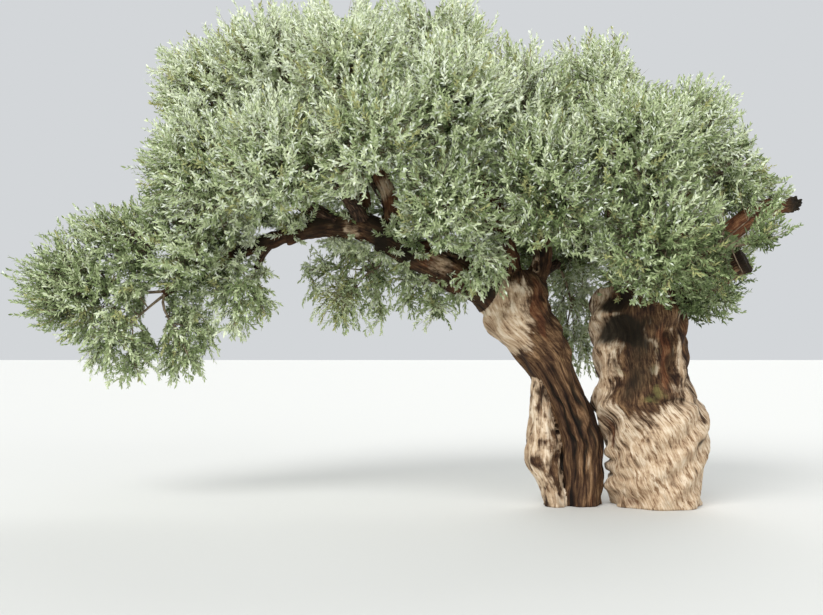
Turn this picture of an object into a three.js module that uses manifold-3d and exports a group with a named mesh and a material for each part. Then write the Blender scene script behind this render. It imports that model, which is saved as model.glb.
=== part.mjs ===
// A very old olive tree: two gnarled stems from one root, a long limb that arches out to one side and dips at its end,
// and a dense grey-green crown with thinner tufts hanging under the arch and between the stems.
// Sizes are in millimetres, +Z up. The origin is the middle of the stout stem's flat cut at ground level.
// The arching limb reaches along -X, and +Y runs from the open front to the back of the crown.
import * as THREE from "three";
import { mergeVertices } from "three/addons/utils/BufferGeometryUtils.js";
import Module from "manifold-3d";

const wasm = await Module();
wasm.setup();

const GAP = 0.3; // clearance where one solid meets another
const BARK = { color: 0x8f7760, roughness: 0.9, metalness: 0 };
const PALE_BARK = { color: 0xb8a68f, roughness: 0.9, metalness: 0 };
const LEAF = { color: 0x8c9a6e, roughness: 0.6, metalness: 0 };

// The stems, as rows of [height, middle x, middle y, half width, half depth] of the level section at that height.
const STOUT_STEM = [
  [0, 0, 0, 425, 420],
  [220, -20, 0, 455, 440],
  [570, -5, 0, 505, 460],
  [800, -20, 0, 530, 470],
  [980, -85, 0, 540, 460],
  [1130, -110, 0, 475, 430],
  [1260, -125, 0, 440, 410],
  [1570, -165, 0, 470, 410],
  [1830, -175, 0, 475, 410],
  [2030, -170, 0, 450, 390],
  [2180, -160, 0, 360, 310],
  [2270, -150, 0, 190, 170],
];
const LEANING_STEM = [
  [0, -760, 60, 205, 260],
  [330, -740, 60, 205, 240],
  [650, -755, 50, 225, 230],
  [1000, -890, 40, 225, 225],
  [1250, -1010, 20, 230, 230],
  [1510, -1150, 0, 295, 260],
  [1730, -1305, 0, 370, 300],
  [1930, -1380, 0, 335, 300],
  [2130, -1365, 0, 300, 270],
  [2260, -1350, 0, 215, 200],
  [2330, -1345, 0, 110, 100],
];
const SLAB_BESIDE_IT = [
  [0, -1015, -60, 110, 180],
  [200, -1060, -60, 112, 170],
  [430, -1145, -60, 175, 180],
  [650, -1140, -50, 165, 170],
  [910, -1150, -40, 108, 150],
  [1200, -1160, -20, 85, 120],
  [1400, -1180, 0, 60, 90],
];
const FLARE = { share: 0.07, height: 110 }; // the foot spreads by this share, dying away over this height
const STEM_RINGS = 14;
const STOUT_SIDES = 22;
const SLIM_SIDES = 15;
const FLUTES = { count: 7, share: 0.045, turns: 0.00045 }; // ridges that wind slowly up each stem, turns per millimetre
const HOLLOW = { angle: -1.95, height: 1800, halfAngle: 0.42, halfHeight: 300, share: 0.45 }; // rotted pocket

// The boughs, from the stems outwards. A bough leaves the side of the limb it names, or follows on from its tip.
const BOUGHS = [
  { name: "bough_arch_rise", leaves: "trunk_left", radii: [200, 160],
    path: [[-1420, 0, 1960], [-1950, -30, 2290], [-2380, -50, 2500], [-2720, -50, 2690]] },
  { name: "bough_arch_crest", follows: "bough_arch_rise", radii: [158, 85],
    path: [[-3080, -40, 2780], [-3430, -10, 2760], [-3700, 0, 2680]] },
  { name: "bough_arch_fall", follows: "bough_arch_crest", radii: [82, 42],
    path: [[-4120, 10, 2530], [-4560, 20, 2290], [-4930, 20, 2090]] },
  { name: "bough_arm_upper", leaves: "bough_arch_crest", radii: [70, 46],
    path: [[-3500, 30, 2780], [-3850, 120, 2870], [-4250, 160, 2830]] },
  { name: "bough_underside", leaves: "bough_arch_fall", radii: [42, 30],
    path: [[-3800, 0, 2650], [-3930, -10, 2480], [-3990, -10, 2340]] },
  { name: "bough_left_rise", leaves: "bough_arch_crest", radii: [95, 50],
    path: [[-3200, -30, 2790], [-3560, -30, 3020], [-3900, 0, 3320], [-4110, 20, 3600]] },
  { name: "bough_left_crown", leaves: "bough_arch_crest", radii: [105, 50],
    path: [[-2960, -30, 2780], [-2960, 60, 3120], [-3240, 160, 3560], [-3560, 200, 3950]] },
  { name: "bough_left_forward", leaves: "bough_arch_crest", radii: [85, 48],
    path: [[-2890, -50, 2740], [-3010, -330, 2950], [-3180, -620, 3110]] },
  { name: "bough_centre_rise", leaves: "bough_arch_rise", radii: [100, 50],
    path: [[-2600, -50, 2630], [-2660, -130, 3050], [-2860, -170, 3550], [-2990, -180, 3920]] },
  { name: "bough_centre_back", leaves: "bough_arch_rise", radii: [90, 50],
    path: [[-2480, -30, 2560], [-2570, 330, 2880], [-2830, 740, 3330], [-3020, 950, 3640]] },
  { name: "bough_arch_under", leaves: "bough_arch_rise", radii: [60, 40],
    path: [[-2330, -30, 2480], [-2430, 210, 2520], [-2590, 360, 2500]] },
  { name: "bough_upright", leaves: "trunk_left", radii: [150, 62],
    path: [[-1450, 0, 2080], [-1480, -10, 2480], [-1640, -30, 3010], [-1900, -20, 3520], [-2060, 0, 3860]] },
  { name: "bough_front_left", leaves: "bough_upright", radii: [75, 45],
    path: [[-1490, -30, 2530], [-1640, -290, 2640], [-1820, -520, 2700]] },
  { name: "bough_second_upright", leaves: "trunk_left", radii: [110, 55],
    path: [[-1240, 10, 2100], [-1130, 0, 2420], [-1170, -60, 2830], [-1290, -80, 3230]] },
  { name: "bough_stem_back", leaves: "trunk_left", radii: [80, 45],
    path: [[-1250, 60, 2050], [-1090, 300, 2300], [-900, 520, 2440]] },
  { name: "bough_right_rise", leaves: "trunk_right", radii: [140, 58],
    path: [[-260, 0, 2050], [-340, -20, 2480], [-430, -60, 2930], [-520, -60, 3330]] },
  { name: "bough_right_back", leaves: "trunk_right", radii: [110, 52],
    path: [[-90, 100, 2050], [0, 300, 2520], [110, 480, 2980], [150, 560, 3260]] },
  { name: "bough_right_crown", leaves: "trunk_right", radii: [120, 52],
    path: [[-20, 0, 2050], [130, -60, 2480], [260, -110, 2880], [290, -120, 3130]] },
  { name: "bough_right_forward", leaves: "trunk_right", radii: [95, 48],
    path: [[-60, -100, 2060], [20, -390, 2250], [140, -630, 2400]] },
  { name: "bough_sawn_end", leaves: "trunk_right", radii: [120, 82],
    path: [[40, 0, 1960], [430, -60, 2400], [860, -90, 2790], [1190, -60, 2960], [1420, -20, 2985]] },
  { name: "bough_sawn_stump", leaves: "trunk_right", radii: [150, 112],
    path: [[60, -60, 1900], [430, -260, 2120], [730, -400, 2280], [895, -480, 2340]] },
  { name: "bough_right_low", leaves: "bough_sawn_end", radii: [62, 42],
    path: [[420, -40, 2390], [500, 150, 2390], [560, 260, 2360]] },
];
const BOUGH_SIDES = 7;
const BOUGH_RING_STEP = 320; // one ring about every 320 mm
const COLLAR = { share: 0.22, length: 0.09 }; // the swelling where a bough leaves, as shares of its radius and length

// The masses of leaves: the bough that carries each, its middle, its half sizes, the way its shoots lean and the size
// of the core that its sprays stand out of, as a share of the half sizes. The hanging tufts are thinner.
const UP = [0, 0, 0.55];
const UP_LEFT = [-0.4, 0, 0.35];
const OUT_RIGHT = [0.35, 0, 0.35];
const DOWN = [0, 0, -0.75];
const MASSES = [
  { name: "leaves_arm_tip", on: "bough_arch_fall", middle: [-5800, 0, 2190], half: [570, 600, 550], lean: UP_LEFT, core: 0.66 },
  { name: "leaves_arm_hanging_outer", on: "bough_arch_fall", middle: [-5290, -60, 1730], half: [540, 500, 580], lean: DOWN, core: 0.5 },
  { name: "leaves_arm_hanging_inner", on: "bough_arch_fall", middle: [-4740, 120, 1650], half: [370, 400, 520], lean: DOWN, core: 0.5 },
  { name: "leaves_arm_shoulder", on: "bough_arm_upper", middle: [-5380, 130, 2600], half: [580, 540, 470], lean: UP_LEFT, core: 0.66 },
  { name: "leaves_arm_middle", on: "bough_arm_upper", middle: [-4700, 110, 2590], half: [640, 860, 580], lean: UP_LEFT, core: 0.66 },
  { name: "leaves_underside", on: "bough_underside", middle: [-4140, -20, 2060], half: [400, 480, 470], lean: DOWN, core: 0.5 },
  { name: "leaves_left_front", on: "bough_left_rise", middle: [-4420, -520, 3270], half: [630, 580, 600], lean: UP_LEFT, core: 0.66 },
  { name: "leaves_left_back", on: "bough_left_rise", middle: [-4480, 620, 3500], half: [700, 640, 680], lean: UP_LEFT, core: 0.66 },
  { name: "leaves_left_brow", on: "bough_left_rise", middle: [-4520, -60, 4110], half: [550, 600, 580], lean: UP_LEFT, core: 0.66 },
  { name: "leaves_left_top", on: "bough_left_crown", middle: [-3880, -260, 4330], half: [630, 600, 580], lean: UP, core: 0.66 },
  { name: "leaves_left_top_back", on: "bough_left_crown", middle: [-3940, 780, 4420], half: [650, 650, 580], lean: UP, core: 0.66 },
  { name: "leaves_left_forward", on: "bough_left_forward", middle: [-3640, -1000, 3290], half: [630, 600, 580], lean: UP, core: 0.66 },
  { name: "leaves_centre_forward", on: "bough_left_forward", middle: [-2760, -1230, 3470], half: [650, 600, 600], lean: UP, core: 0.66 },
  { name: "leaves_centre_top_front", on: "bough_centre_rise", middle: [-3030, -760, 4230], half: [640, 600, 580], lean: UP, core: 0.66 },
  { name: "leaves_centre_top", on: "bough_centre_rise", middle: [-3150, 230, 4650], half: [650, 630, 600], lean: UP, core: 0.66 },
  { name: "leaves_centre_back", on: "bough_centre_back", middle: [-3150, 1270, 3880], half: [720, 640, 800], lean: UP, core: 0.66 },
  { name: "leaves_under_arch", on: "bough_arch_under", middle: [-3050, 460, 2230], half: [560, 460, 600], lean: DOWN, core: 0.5 },
  { name: "leaves_under_arch_right", on: "bough_arch_under", middle: [-2230, 400, 2200], half: [480, 430, 460], lean: DOWN, core: 0.5 },
  { name: "leaves_high_top", on: "bough_upright", middle: [-2210, 0, 4560], half: [670, 650, 650], lean: UP, core: 0.66 },
  { name: "leaves_high_front", on: "bough_upright", middle: [-2110, -1030, 3800], half: [640, 600, 600], lean: UP, core: 0.66 },
  { name: "leaves_high_back", on: "bough_upright", middle: [-2050, 1060, 3830], half: [700, 660, 820], lean: UP, core: 0.66 },
  { name: "leaves_arch_front", on: "bough_front_left", middle: [-2200, -1000, 2960], half: [640, 540, 580], lean: UP, core: 0.66 },
  { name: "leaves_stem_front", on: "bough_front_left", middle: [-1830, -640, 2330], half: [410, 380, 370], lean: DOWN, core: 0.5 },
  { name: "leaves_middle_front", on: "bough_second_upright", middle: [-1200, -970, 3090], half: [660, 570, 660], lean: UP, core: 0.66 },
  { name: "leaves_middle_top", on: "bough_second_upright", middle: [-1380, -260, 3940], half: [630, 600, 600], lean: UP, core: 0.66 },
  { name: "leaves_middle_back", on: "bough_second_upright", middle: [-1180, 900, 3640], half: [690, 660, 700], lean: UP, core: 0.66 },
  { name: "leaves_between_stems", on: "bough_stem_back", middle: [-700, 660, 1830], half: [360, 350, 630], lean: DOWN, core: 0.42 },
  { name: "leaves_low_back", on: "bough_stem_back", middle: [-900, 1040, 2720], half: [760, 600, 560], lean: UP, core: 0.66 },
  { name: "leaves_right_top", on: "bough_right_rise", middle: [-500, 0, 4110], half: [630, 630, 600], lean: UP, core: 0.66 },
  { name: "leaves_right_front", on: "bough_right_rise", middle: [-420, -940, 3380], half: [640, 570, 620], lean: UP, core: 0.66 },
  { name: "leaves_right_back", on: "bough_right_back", middle: [120, 940, 3560], half: [700, 660, 720], lean: OUT_RIGHT, core: 0.66 },
  { name: "leaves_right_crown", on: "bough_right_crown", middle: [330, -200, 3660], half: [580, 600, 560], lean: OUT_RIGHT, core: 0.66 },
  { name: "leaves_right_low_front", on: "bough_right_forward", middle: [-130, -930, 2540], half: [620, 550, 570], lean: OUT_RIGHT, core: 0.66 },
  { name: "leaves_right_low_side", on: "bough_right_forward", middle: [640, -880, 2500], half: [450, 430, 500], lean: OUT_RIGHT, core: 0.66 },
  { name: "leaves_right_edge", on: "bough_right_crown", middle: [890, 60, 3340], half: [430, 560, 520], lean: OUT_RIGHT, core: 0.66 },
  { name: "leaves_right_low", on: "bough_right_low", middle: [640, 260, 2340], half: [500, 520, 520], lean: OUT_RIGHT, core: 0.66 },
];
const SPACE_MARGIN = 6; // a leaf or twig stays this far inside its own space
const LIMB_MARGIN = 10; // and this far off any limb that it doesn't grow on
const DENSE = 0.6; // a mass with a core over this share is dense
const CORE_BUMPS = 0.24; // a core's corners are this share nearer or further out than its own size
const STEM = { share: 0.38, sides: 4, taper: 0.5 }; // radius as a share of the bough's tip
const SPRAY = { length: 400, width: 140, thickness: 26, widest: 0.45 }; // one blade stands for a leafy spray
const SPRAYS_OUT_OF_CORE = { count: 19, root: 0.66, aside: 0.7 }; // rooted at this share of the way to the core's skin
const TRIED_SIZES = [1.15, 0.95, 0.75]; // the largest that fits its place is kept
const TWIG = { count: 6, radius: 12, sides: 3, reach: 0.8 };
// The sprays of a twig: how far along it each starts, how far it turns aside and its share of the full size.
const SPRAYS_ON_TWIG = [
  { along: 0.97, aside: 0.15, size: 0.6 },
  { along: 0.85, aside: 1, size: 0.75 },
  { along: 0.7, aside: 1.1, size: 0.8 },
];
const GOLDEN_ANGLE = Math.PI * (3 - Math.sqrt(5));

const vector = ([x, y, z]) => new THREE.Vector3(x, y, z);

// Seeded numbers from 0 to 1, the same on every run.
function seeded(seed) {
  let state = seed;
  return () => {
    state = (Math.imul(state, 1664525) + 1013904223) >>> 0;
    return state / 2 ** 32;
  };
}

// Smooth value of every column of some rows, part of the way from the first row to the last.
function along(rows, share) {
  const place = Math.min(share * (rows.length - 1), rows.length - 1.000001);
  const row = Math.floor(place);
  const f = place - row;
  const pick = (n) => rows[Math.max(0, Math.min(rows.length - 1, n))];
  const [a, b, c, d] = [pick(row - 1), pick(row), pick(row + 1), pick(row + 2)];
  return b.map((value, k) =>
    value + 0.5 * f * (c[k] - a[k] + f * (2 * a[k] - 5 * value + 4 * c[k] - d[k] + f * (3 * (value - c[k]) + d[k] - a[k]))));
}

// Closed mesh over a row of rings of points, with a flat cap on each end.
function loft(rings) {
  const sides = rings[0].length;
  const last = (rings.length - 1) * sides;
  const faces = [];
  for (let side = 0; side < sides; side++) {
    const next = (side + 1) % sides;
    for (let start = 0; start < last; start += sides) {
      const [a, b] = [start + side, start + next];
      faces.push(a, b, b + sides, a, b + sides, a + sides);
    }
  }
  for (let side = 1; side < sides - 1; side++) faces.push(0, side + 1, side, last, last + side, last + side + 1);
  return new THREE.BufferGeometry().setFromPoints(rings.flat()).setIndex(faces);
}

// A closed geometry as a solid that can be joined and cut.
function solid(geometry) {
  const bare = geometry.clone();
  bare.deleteAttribute("normal");
  bare.deleteAttribute("uv");
  const merged = mergeVertices(bare, 1e-3);
  return new wasm.Manifold(new wasm.Mesh({
    numProp: 3,
    vertProperties: new Float32Array(merged.attributes.position.array),
    triVerts: new Uint32Array(merged.index.array),
  }));
}

// The largest closed body of a solid, so that no loose scrap is left.
function largest(made) {
  return made.decompose().sort((a, b) => b.volume() - a.volume())[0];
}

function meshOf(made, name, look) {
  const { vertProperties, triVerts } = made.getMesh();
  const geometry = new THREE.BufferGeometry();
  geometry.setAttribute("position", new THREE.BufferAttribute(new Float32Array(vertProperties), 3));
  geometry.setIndex(new THREE.BufferAttribute(new Uint32Array(triVerts), 1));
  geometry.computeVertexNormals();
  const mesh = new THREE.Mesh(geometry, new THREE.MeshStandardMaterial(look));
  mesh.name = name;
  return mesh;
}

// One point of a stem's skin: an oval section with winding flutes, the spread of the foot and, if it has one, the hollow.
function stemPoint([height, x, y, halfWidth, halfDepth], angle, hollow, grow) {
  const flute = 1 + FLUTES.share * Math.cos(FLUTES.count * (angle - 2 * Math.PI * FLUTES.turns * height));
  const flare = 1 + FLARE.share * Math.exp(-height / FLARE.height) * (1 + Math.cos(5 * angle));
  let share = flute * flare;
  if (hollow) {
    const across = (angle - hollow.angle) / hollow.halfAngle;
    const up = (height - hollow.height) / hollow.halfHeight;
    share *= 1 - hollow.share * Math.exp(-(across ** 2) - up ** 4);
  }
  return new THREE.Vector3(
    x + (halfWidth * share + grow) * Math.cos(angle),
    y + (halfDepth * share + grow) * Math.sin(angle),
    height,
  );
}

// A stem as level rings from its flat cut on the ground to its crown.
function stemSolid(rows, sides, hollow = null, grow = 0) {
  const rings = [];
  for (let ring = 0; ring < STEM_RINGS; ring++) {
    const row = along(rows, ring / (STEM_RINGS - 1));
    if (ring === STEM_RINGS - 1) row[0] += grow;
    rings.push(Array.from({ length: sides }, (_, side) =>
      stemPoint(row, (2 * Math.PI * side) / sides - Math.PI, hollow, grow)));
  }
  return solid(loft(rings));
}

// A limb along a smooth line, with the radius falling from one end to the other and a collar where it leaves.
function limb(points, [thick, slim], sides, rings, collar = 0) {
  const curve = new THREE.CatmullRomCurve3(points);
  const frames = curve.computeFrenetFrames(rings, false);
  const radiusAt = (share) => (thick + (slim - thick) * share) * (1 + collar * Math.exp(-share / COLLAR.length));
  const shape = (grow) => {
    const made = [];
    for (let ring = 0; ring <= rings; ring++) {
      const share = ring / rings;
      const middle = curve.getPointAt(share);
      made.push(Array.from({ length: sides }, (_, side) => {
        const angle = (2 * Math.PI * side) / sides;
        const lobe = sides > 4 ? 1 + 0.07 * Math.cos(2 * angle + 3 * share) + 0.05 * Math.cos(3 * angle + 1.7) : 1;
        const reach = radiusAt(share) * lobe + grow;
        return middle.clone()
          .addScaledVector(frames.normals[ring], reach * Math.cos(angle))
          .addScaledVector(frames.binormals[ring], reach * Math.sin(angle));
      }));
    }
    if (grow) made.at(-1).forEach((point) => point.addScaledVector(frames.tangents[rings], grow));
    return solid(loft(made));
  };
  const axis = Array.from({ length: 4 * rings + 1 }, (_, n) => {
    const share = n / (4 * rings);
    return { at: curve.getPointAt(share), radius: radiusAt(share) * 1.12 };
  });
  const tip = { at: curve.getPointAt(1), way: frames.tangents[rings], radius: slim };
  return { shape, axis, tip };
}

// The two stems. The leaning one is a strand with a pale slab fused to its left side, and meets the stout one at the foot.
const GROWN = GAP * 1.4;
const stems = {
  trunk_right: {
    look: PALE_BARK,
    shape: (grow) => stemSolid(STOUT_STEM, STOUT_SIDES, HOLLOW, grow),
  },
  trunk_left: {
    look: BARK,
    shape: (grow) => stemSolid(LEANING_STEM, SLIM_SIDES, null, grow).add(stemSolid(SLAB_BESIDE_IT, SLIM_SIDES, null, grow)),
  },
};
const stemAxis = (rows) => Array.from({ length: 30 }, (_, n) => {
  const [height, x, y, halfWidth, halfDepth] = along(rows, n / 29);
  return { at: new THREE.Vector3(x, y, height), radius: Math.max(halfWidth, halfDepth) * 1.1 };
});
stems.trunk_right.axis = stemAxis(STOUT_STEM);
stems.trunk_left.axis = stemAxis(LEANING_STEM);

// The boughs in order, each cut clear of every limb made before it.
function growBoughs() {
  const limbs = { ...stems };
  stems.trunk_right.made = stems.trunk_right.shape(0);
  stems.trunk_left.made = largest(stems.trunk_left.shape(0).subtract(stems.trunk_right.shape(GROWN)));
  for (const bough of BOUGHS) {
    const path = bough.path.map(vector);
    if (bough.follows) {
      const { at, way } = limbs[bough.follows].tip;
      path.unshift(at.clone().addScaledVector(way, GAP), at.clone().addScaledVector(way, 90));
    }
    const length = new THREE.CatmullRomCurve3(path).getLength();
    const rings = Math.max(3, Math.round(length / BOUGH_RING_STEP));
    const grown = limb(path, bough.radii, BOUGH_SIDES, rings, bough.follows ? 0 : COLLAR.share);
    let made = grown.shape(0);
    for (const other of Object.values(limbs)) made = made.subtract(other.shape(GROWN));
    limbs[bough.name] = { ...grown, made: largest(made), look: BARK };
  }
  return limbs;
}

// Planes half way between a mass and each mass near it, so that every mass keeps to its own space.
function spaceOf(mass, masses) {
  const planes = [];
  for (const other of masses) {
    if (other === mass) continue;
    const way = other.middle.clone().sub(mass.middle);
    const apart = way.length();
    way.divideScalar(apart);
    const reach = [mass, other].map(({ half }) => way.clone().multiply(half).length());
    if (apart < 1.3 * (reach[0] + reach[1]))
      planes.push({ way, limit: (apart * reach[0]) / (reach[0] + reach[1]) - SPACE_MARGIN });
  }
  return planes;
}

const stretch = (mass, point) => point.clone().sub(mass.middle).divide(mass.half).length();

function fits(mass, points, radius, limbs) {
  return points.every((point) => {
    const from = point.clone().sub(mass.middle);
    return stretch(mass, point) < 1.13
      && mass.planes.every(({ way, limit }) => from.dot(way) + radius < limit)
      && limbs.every((other) => other.axis.every(({ at, radius: limbRadius }) =>
        at.distanceTo(point) > limbRadius + radius + LIMB_MARGIN));
  });
}

// The stem of a mass starts on its share of the bough's flat tip, beside the stems of the other masses there.
function stemOf(mass, bough, place, count, firstWay) {
  const { at, way, radius } = bough.tip;
  const side = firstWay.clone().addScaledVector(way, -firstWay.dot(way)).normalize()
    .applyAxisAngle(way, (2 * Math.PI * place) / count);
  const thick = radius * STEM.share;
  const start = at.clone().addScaledVector(way, GAP).addScaledVector(side, count > 1 ? radius * 0.55 : 0);
  const near = start.clone().addScaledVector(way, 70).addScaledVector(side, 12);
  const end = mass.middle.clone().lerp(start, 0.12);
  const half = near.clone().lerp(end, 0.5).addScaledVector(way, near.distanceTo(end) * 0.08);
  return limb([start, near, half, end], [thick, thick * STEM.taper], STEM.sides, 3);
}

// The corners of a blade that stands for a spray of leaves: pointed at both ends, with a ridge along one face.
function sprayPoints(root, way, flat, size) {
  const wide = new THREE.Vector3().crossVectors(way, flat).normalize();
  const deep = new THREE.Vector3().crossVectors(way, wide);
  const at = (far, across, up) => root.clone().addScaledVector(way, far * SPRAY.length * size)
    .addScaledVector(wide, across * SPRAY.width * size).addScaledVector(deep, up * SPRAY.thickness * size);
  return [root, at(1, 0, 0), at(SPRAY.widest, 0.5, -0.4), at(SPRAY.widest, 0, 0.6), at(SPRAY.widest, -0.5, -0.4)];
}

const SPRAY_FACES = [0, 3, 2, 0, 4, 3, 0, 2, 4, 1, 2, 3, 1, 3, 4, 1, 4, 2];

function spraySolid(points) {
  return solid(new THREE.BufferGeometry().setFromPoints(points).setIndex(SPRAY_FACES));
}

// The lumpy core of a mass. It fills the middle of the mass's own space.
function coreSolid(mass, random) {
  const ball = new THREE.IcosahedronGeometry(1, 1);
  ball.deleteAttribute("normal");
  ball.deleteAttribute("uv");
  const core = mergeVertices(ball, 1e-3);
  const place = core.attributes.position;
  for (let n = 0; n < place.count; n++) {
    const arm = new THREE.Vector3().fromBufferAttribute(place, n).multiply(mass.half)
      .multiplyScalar(mass.core * (1 + CORE_BUMPS * (2 * random() - 1)));
    const room = mass.planes.map(({ way, limit }) => limit / Math.max(arm.dot(way), limit));
    place.setXYZ(n, ...arm.multiplyScalar(Math.min(1, ...room)).add(mass.middle).toArray());
  }
  return solid(core);
}

// A point part of the way along a limb's axis.
function pointOn(axis, share) {
  const place = share * (axis.length - 1);
  const n = Math.min(Math.floor(place), axis.length - 2);
  return axis[n].at.clone().lerp(axis[n + 1].at, place - n);
}

// Directions spread evenly all round, from the top down.
function allRound(count, turn) {
  return Array.from({ length: count }, (_, n) => {
    const height = 1 - (2 * (n + 0.5)) / count;
    const level = Math.sqrt(1 - height ** 2);
    const angle = turn + n * GOLDEN_ANGLE;
    return new THREE.Vector3(level * Math.cos(angle), level * Math.sin(angle), height);
  });
}

// Sprays that stand out of the core of a dense mass and lean the mass's way.
function spraysOutOfCore(mass, random, limbs) {
  const pieces = [];
  for (const out of allRound(SPRAYS_OUT_OF_CORE.count, 2 * Math.PI * random())) {
    const aside = new THREE.Vector3(random(), random(), random()).subScalar(0.5).cross(out).normalize();
    const way = out.clone().addScaledVector(vector(mass.lean), 0.9)
      .addScaledVector(aside, SPRAYS_OUT_OF_CORE.aside).normalize();
    const root = out.clone().multiply(mass.half).multiplyScalar(mass.core * SPRAYS_OUT_OF_CORE.root).add(mass.middle);
    const flat = out.clone().addScaledVector(aside, 0.8);
    const spray = TRIED_SIZES.map((size) => sprayPoints(root, way, flat, size))
      .find(([, ...points]) => fits(mass, points, 2, limbs));
    if (spray) pieces.push(spraySolid(spray));
  }
  return pieces;
}

// Twigs spread evenly round the stem of a thin mass, with sprays on the outer part of each.
function leafyTwigs(mass, random, limbs) {
  const lean = vector(mass.lean);
  const pieces = [];
  for (const out of allRound(TWIG.count, 2 * Math.PI * random())) {
    const reach = TWIG.reach * (0.9 + 0.2 * random());
    const spin = 2 * Math.PI * random();
    const tip = out.clone().multiply(mass.half).multiplyScalar(reach).add(mass.middle);
    const root = pointOn(mass.stem.axis, 1 - 0.15 * (out.z + 1));
    const bend = root.clone().lerp(tip, 0.5).addScaledVector(lean, -0.12 * root.distanceTo(tip));
    const twig = limb([root, bend, tip], [TWIG.radius, TWIG.radius * 0.5], TWIG.sides, 2);
    if (!fits(mass, twig.axis.slice(3).map(({ at }) => at), TWIG.radius, limbs)) continue;
    pieces.push(twig.shape(0));
    SPRAYS_ON_TWIG.forEach(({ along: share, aside, size }, k) => {
      const ahead = twig.tip.way.clone().addScaledVector(lean, 0.5).normalize();
      const side = new THREE.Vector3().crossVectors(ahead, new THREE.Vector3(0.3, 0.2, 1)).normalize()
        .applyAxisAngle(ahead, spin + k * Math.PI * 0.9);
      const way = ahead.clone().addScaledVector(side, aside).normalize();
      const spray = sprayPoints(pointOn(twig.axis, share), way, ahead, size);
      if (fits(mass, spray.slice(1), 2, limbs)) pieces.push(spraySolid(spray));
    });
  }
  return pieces;
}

// Every mass with its stem, then its twigs and sprays, cut clear of the limbs and of the other stems.
function growMasses(limbs) {
  const masses = MASSES.map((row, n) => ({ ...row, seed: 101 + 37 * n, middle: vector(row.middle), half: vector(row.half) }));
  for (const mass of masses) {
    const bough = limbs[mass.on];
    const sharing = masses.filter(({ on }) => on === mass.on);
    const first = sharing[0].middle.clone().sub(bough.tip.at);
    mass.stem = stemOf(mass, bough, sharing.indexOf(mass), sharing.length, first);
    mass.planes = spaceOf(mass, masses);
  }
  for (const mass of masses) {
    const others = [...Object.values(limbs), ...masses.filter((other) => other !== mass).map(({ stem }) => stem)];
    const near = others.filter(({ axis }) => axis.some(({ at, radius }) => stretch(mass, at) < 1.3 + radius / mass.half.x));
    const random = seeded(mass.seed);
    const grow = mass.core > DENSE ? spraysOutOfCore : leafyTwigs;
    let made = mass.stem.shape(0).add(coreSolid(mass, random));
    for (const piece of grow(mass, random, near)) made = made.add(piece);
    for (const other of others) made = made.subtract(other.shape(GROWN));
    mass.made = largest(made);
  }
  return masses;
}

const olive = new THREE.Group();
const limbs = growBoughs();
for (const [name, { made, look }] of Object.entries(limbs)) olive.add(meshOf(made, name, look));
for (const { made, name } of growMasses(limbs)) olive.add(meshOf(made, name, LEAF));

export default olive;
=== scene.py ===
import math

import bpy
import numpy as np
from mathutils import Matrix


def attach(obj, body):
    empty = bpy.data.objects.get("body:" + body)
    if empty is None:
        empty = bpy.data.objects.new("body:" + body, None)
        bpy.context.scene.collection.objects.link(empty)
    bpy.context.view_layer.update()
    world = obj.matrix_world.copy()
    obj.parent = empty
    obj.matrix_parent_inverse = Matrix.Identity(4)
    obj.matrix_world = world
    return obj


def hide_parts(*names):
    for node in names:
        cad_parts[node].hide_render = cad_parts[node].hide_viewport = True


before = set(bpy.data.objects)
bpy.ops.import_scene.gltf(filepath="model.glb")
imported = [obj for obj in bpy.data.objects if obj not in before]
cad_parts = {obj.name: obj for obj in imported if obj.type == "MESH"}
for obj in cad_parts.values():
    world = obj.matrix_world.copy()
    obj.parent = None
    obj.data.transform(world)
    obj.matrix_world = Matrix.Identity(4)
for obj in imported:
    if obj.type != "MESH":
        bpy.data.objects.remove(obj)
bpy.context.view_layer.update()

# Camera. It stands 10.5 m in front of the stems, 1.48 m above the ground that they grow from, and looks a little
# upwards, so the whole width of the crown fits the picture.
eye = bpy.data.objects.new("eye", bpy.data.cameras.new("eye"))
eye.location = (-2.435, -10.5, 1.48)
eye.rotation_euler = (math.radians(90 + 2.59), 0, 0)
eye.data.sensor_width = 36
eye.data.lens = 36 * 1050 / 823  # the photograph's angle of view, 43 degrees across
bpy.context.collection.objects.link(eye)
bpy.context.scene.camera = eye


# The stout stem. It is the old olive trunk: bare heartwood, bleached where the bark fell off long ago and rotted to
# hollows above, swollen into a burl below. It grew as winding strands that fused, and two of its limbs are short.
# Each row gives height, middle across, middle in depth, half width and half depth in millimetres.
STOUT_STEM = [
    (0, 0, 0, 425, 420), (220, -20, 0, 455, 440), (570, -5, 0, 505, 460), (800, -20, 0, 530, 470),
    (980, -85, 0, 540, 460), (1130, -110, 0, 475, 430), (1260, -125, 0, 440, 410), (1570, -165, 0, 470, 410),
    (1830, -175, 0, 475, 410), (2030, -170, 0, 450, 390), (2180, -160, 0, 360, 310), (2270, -150, 0, 190, 170),
]
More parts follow.
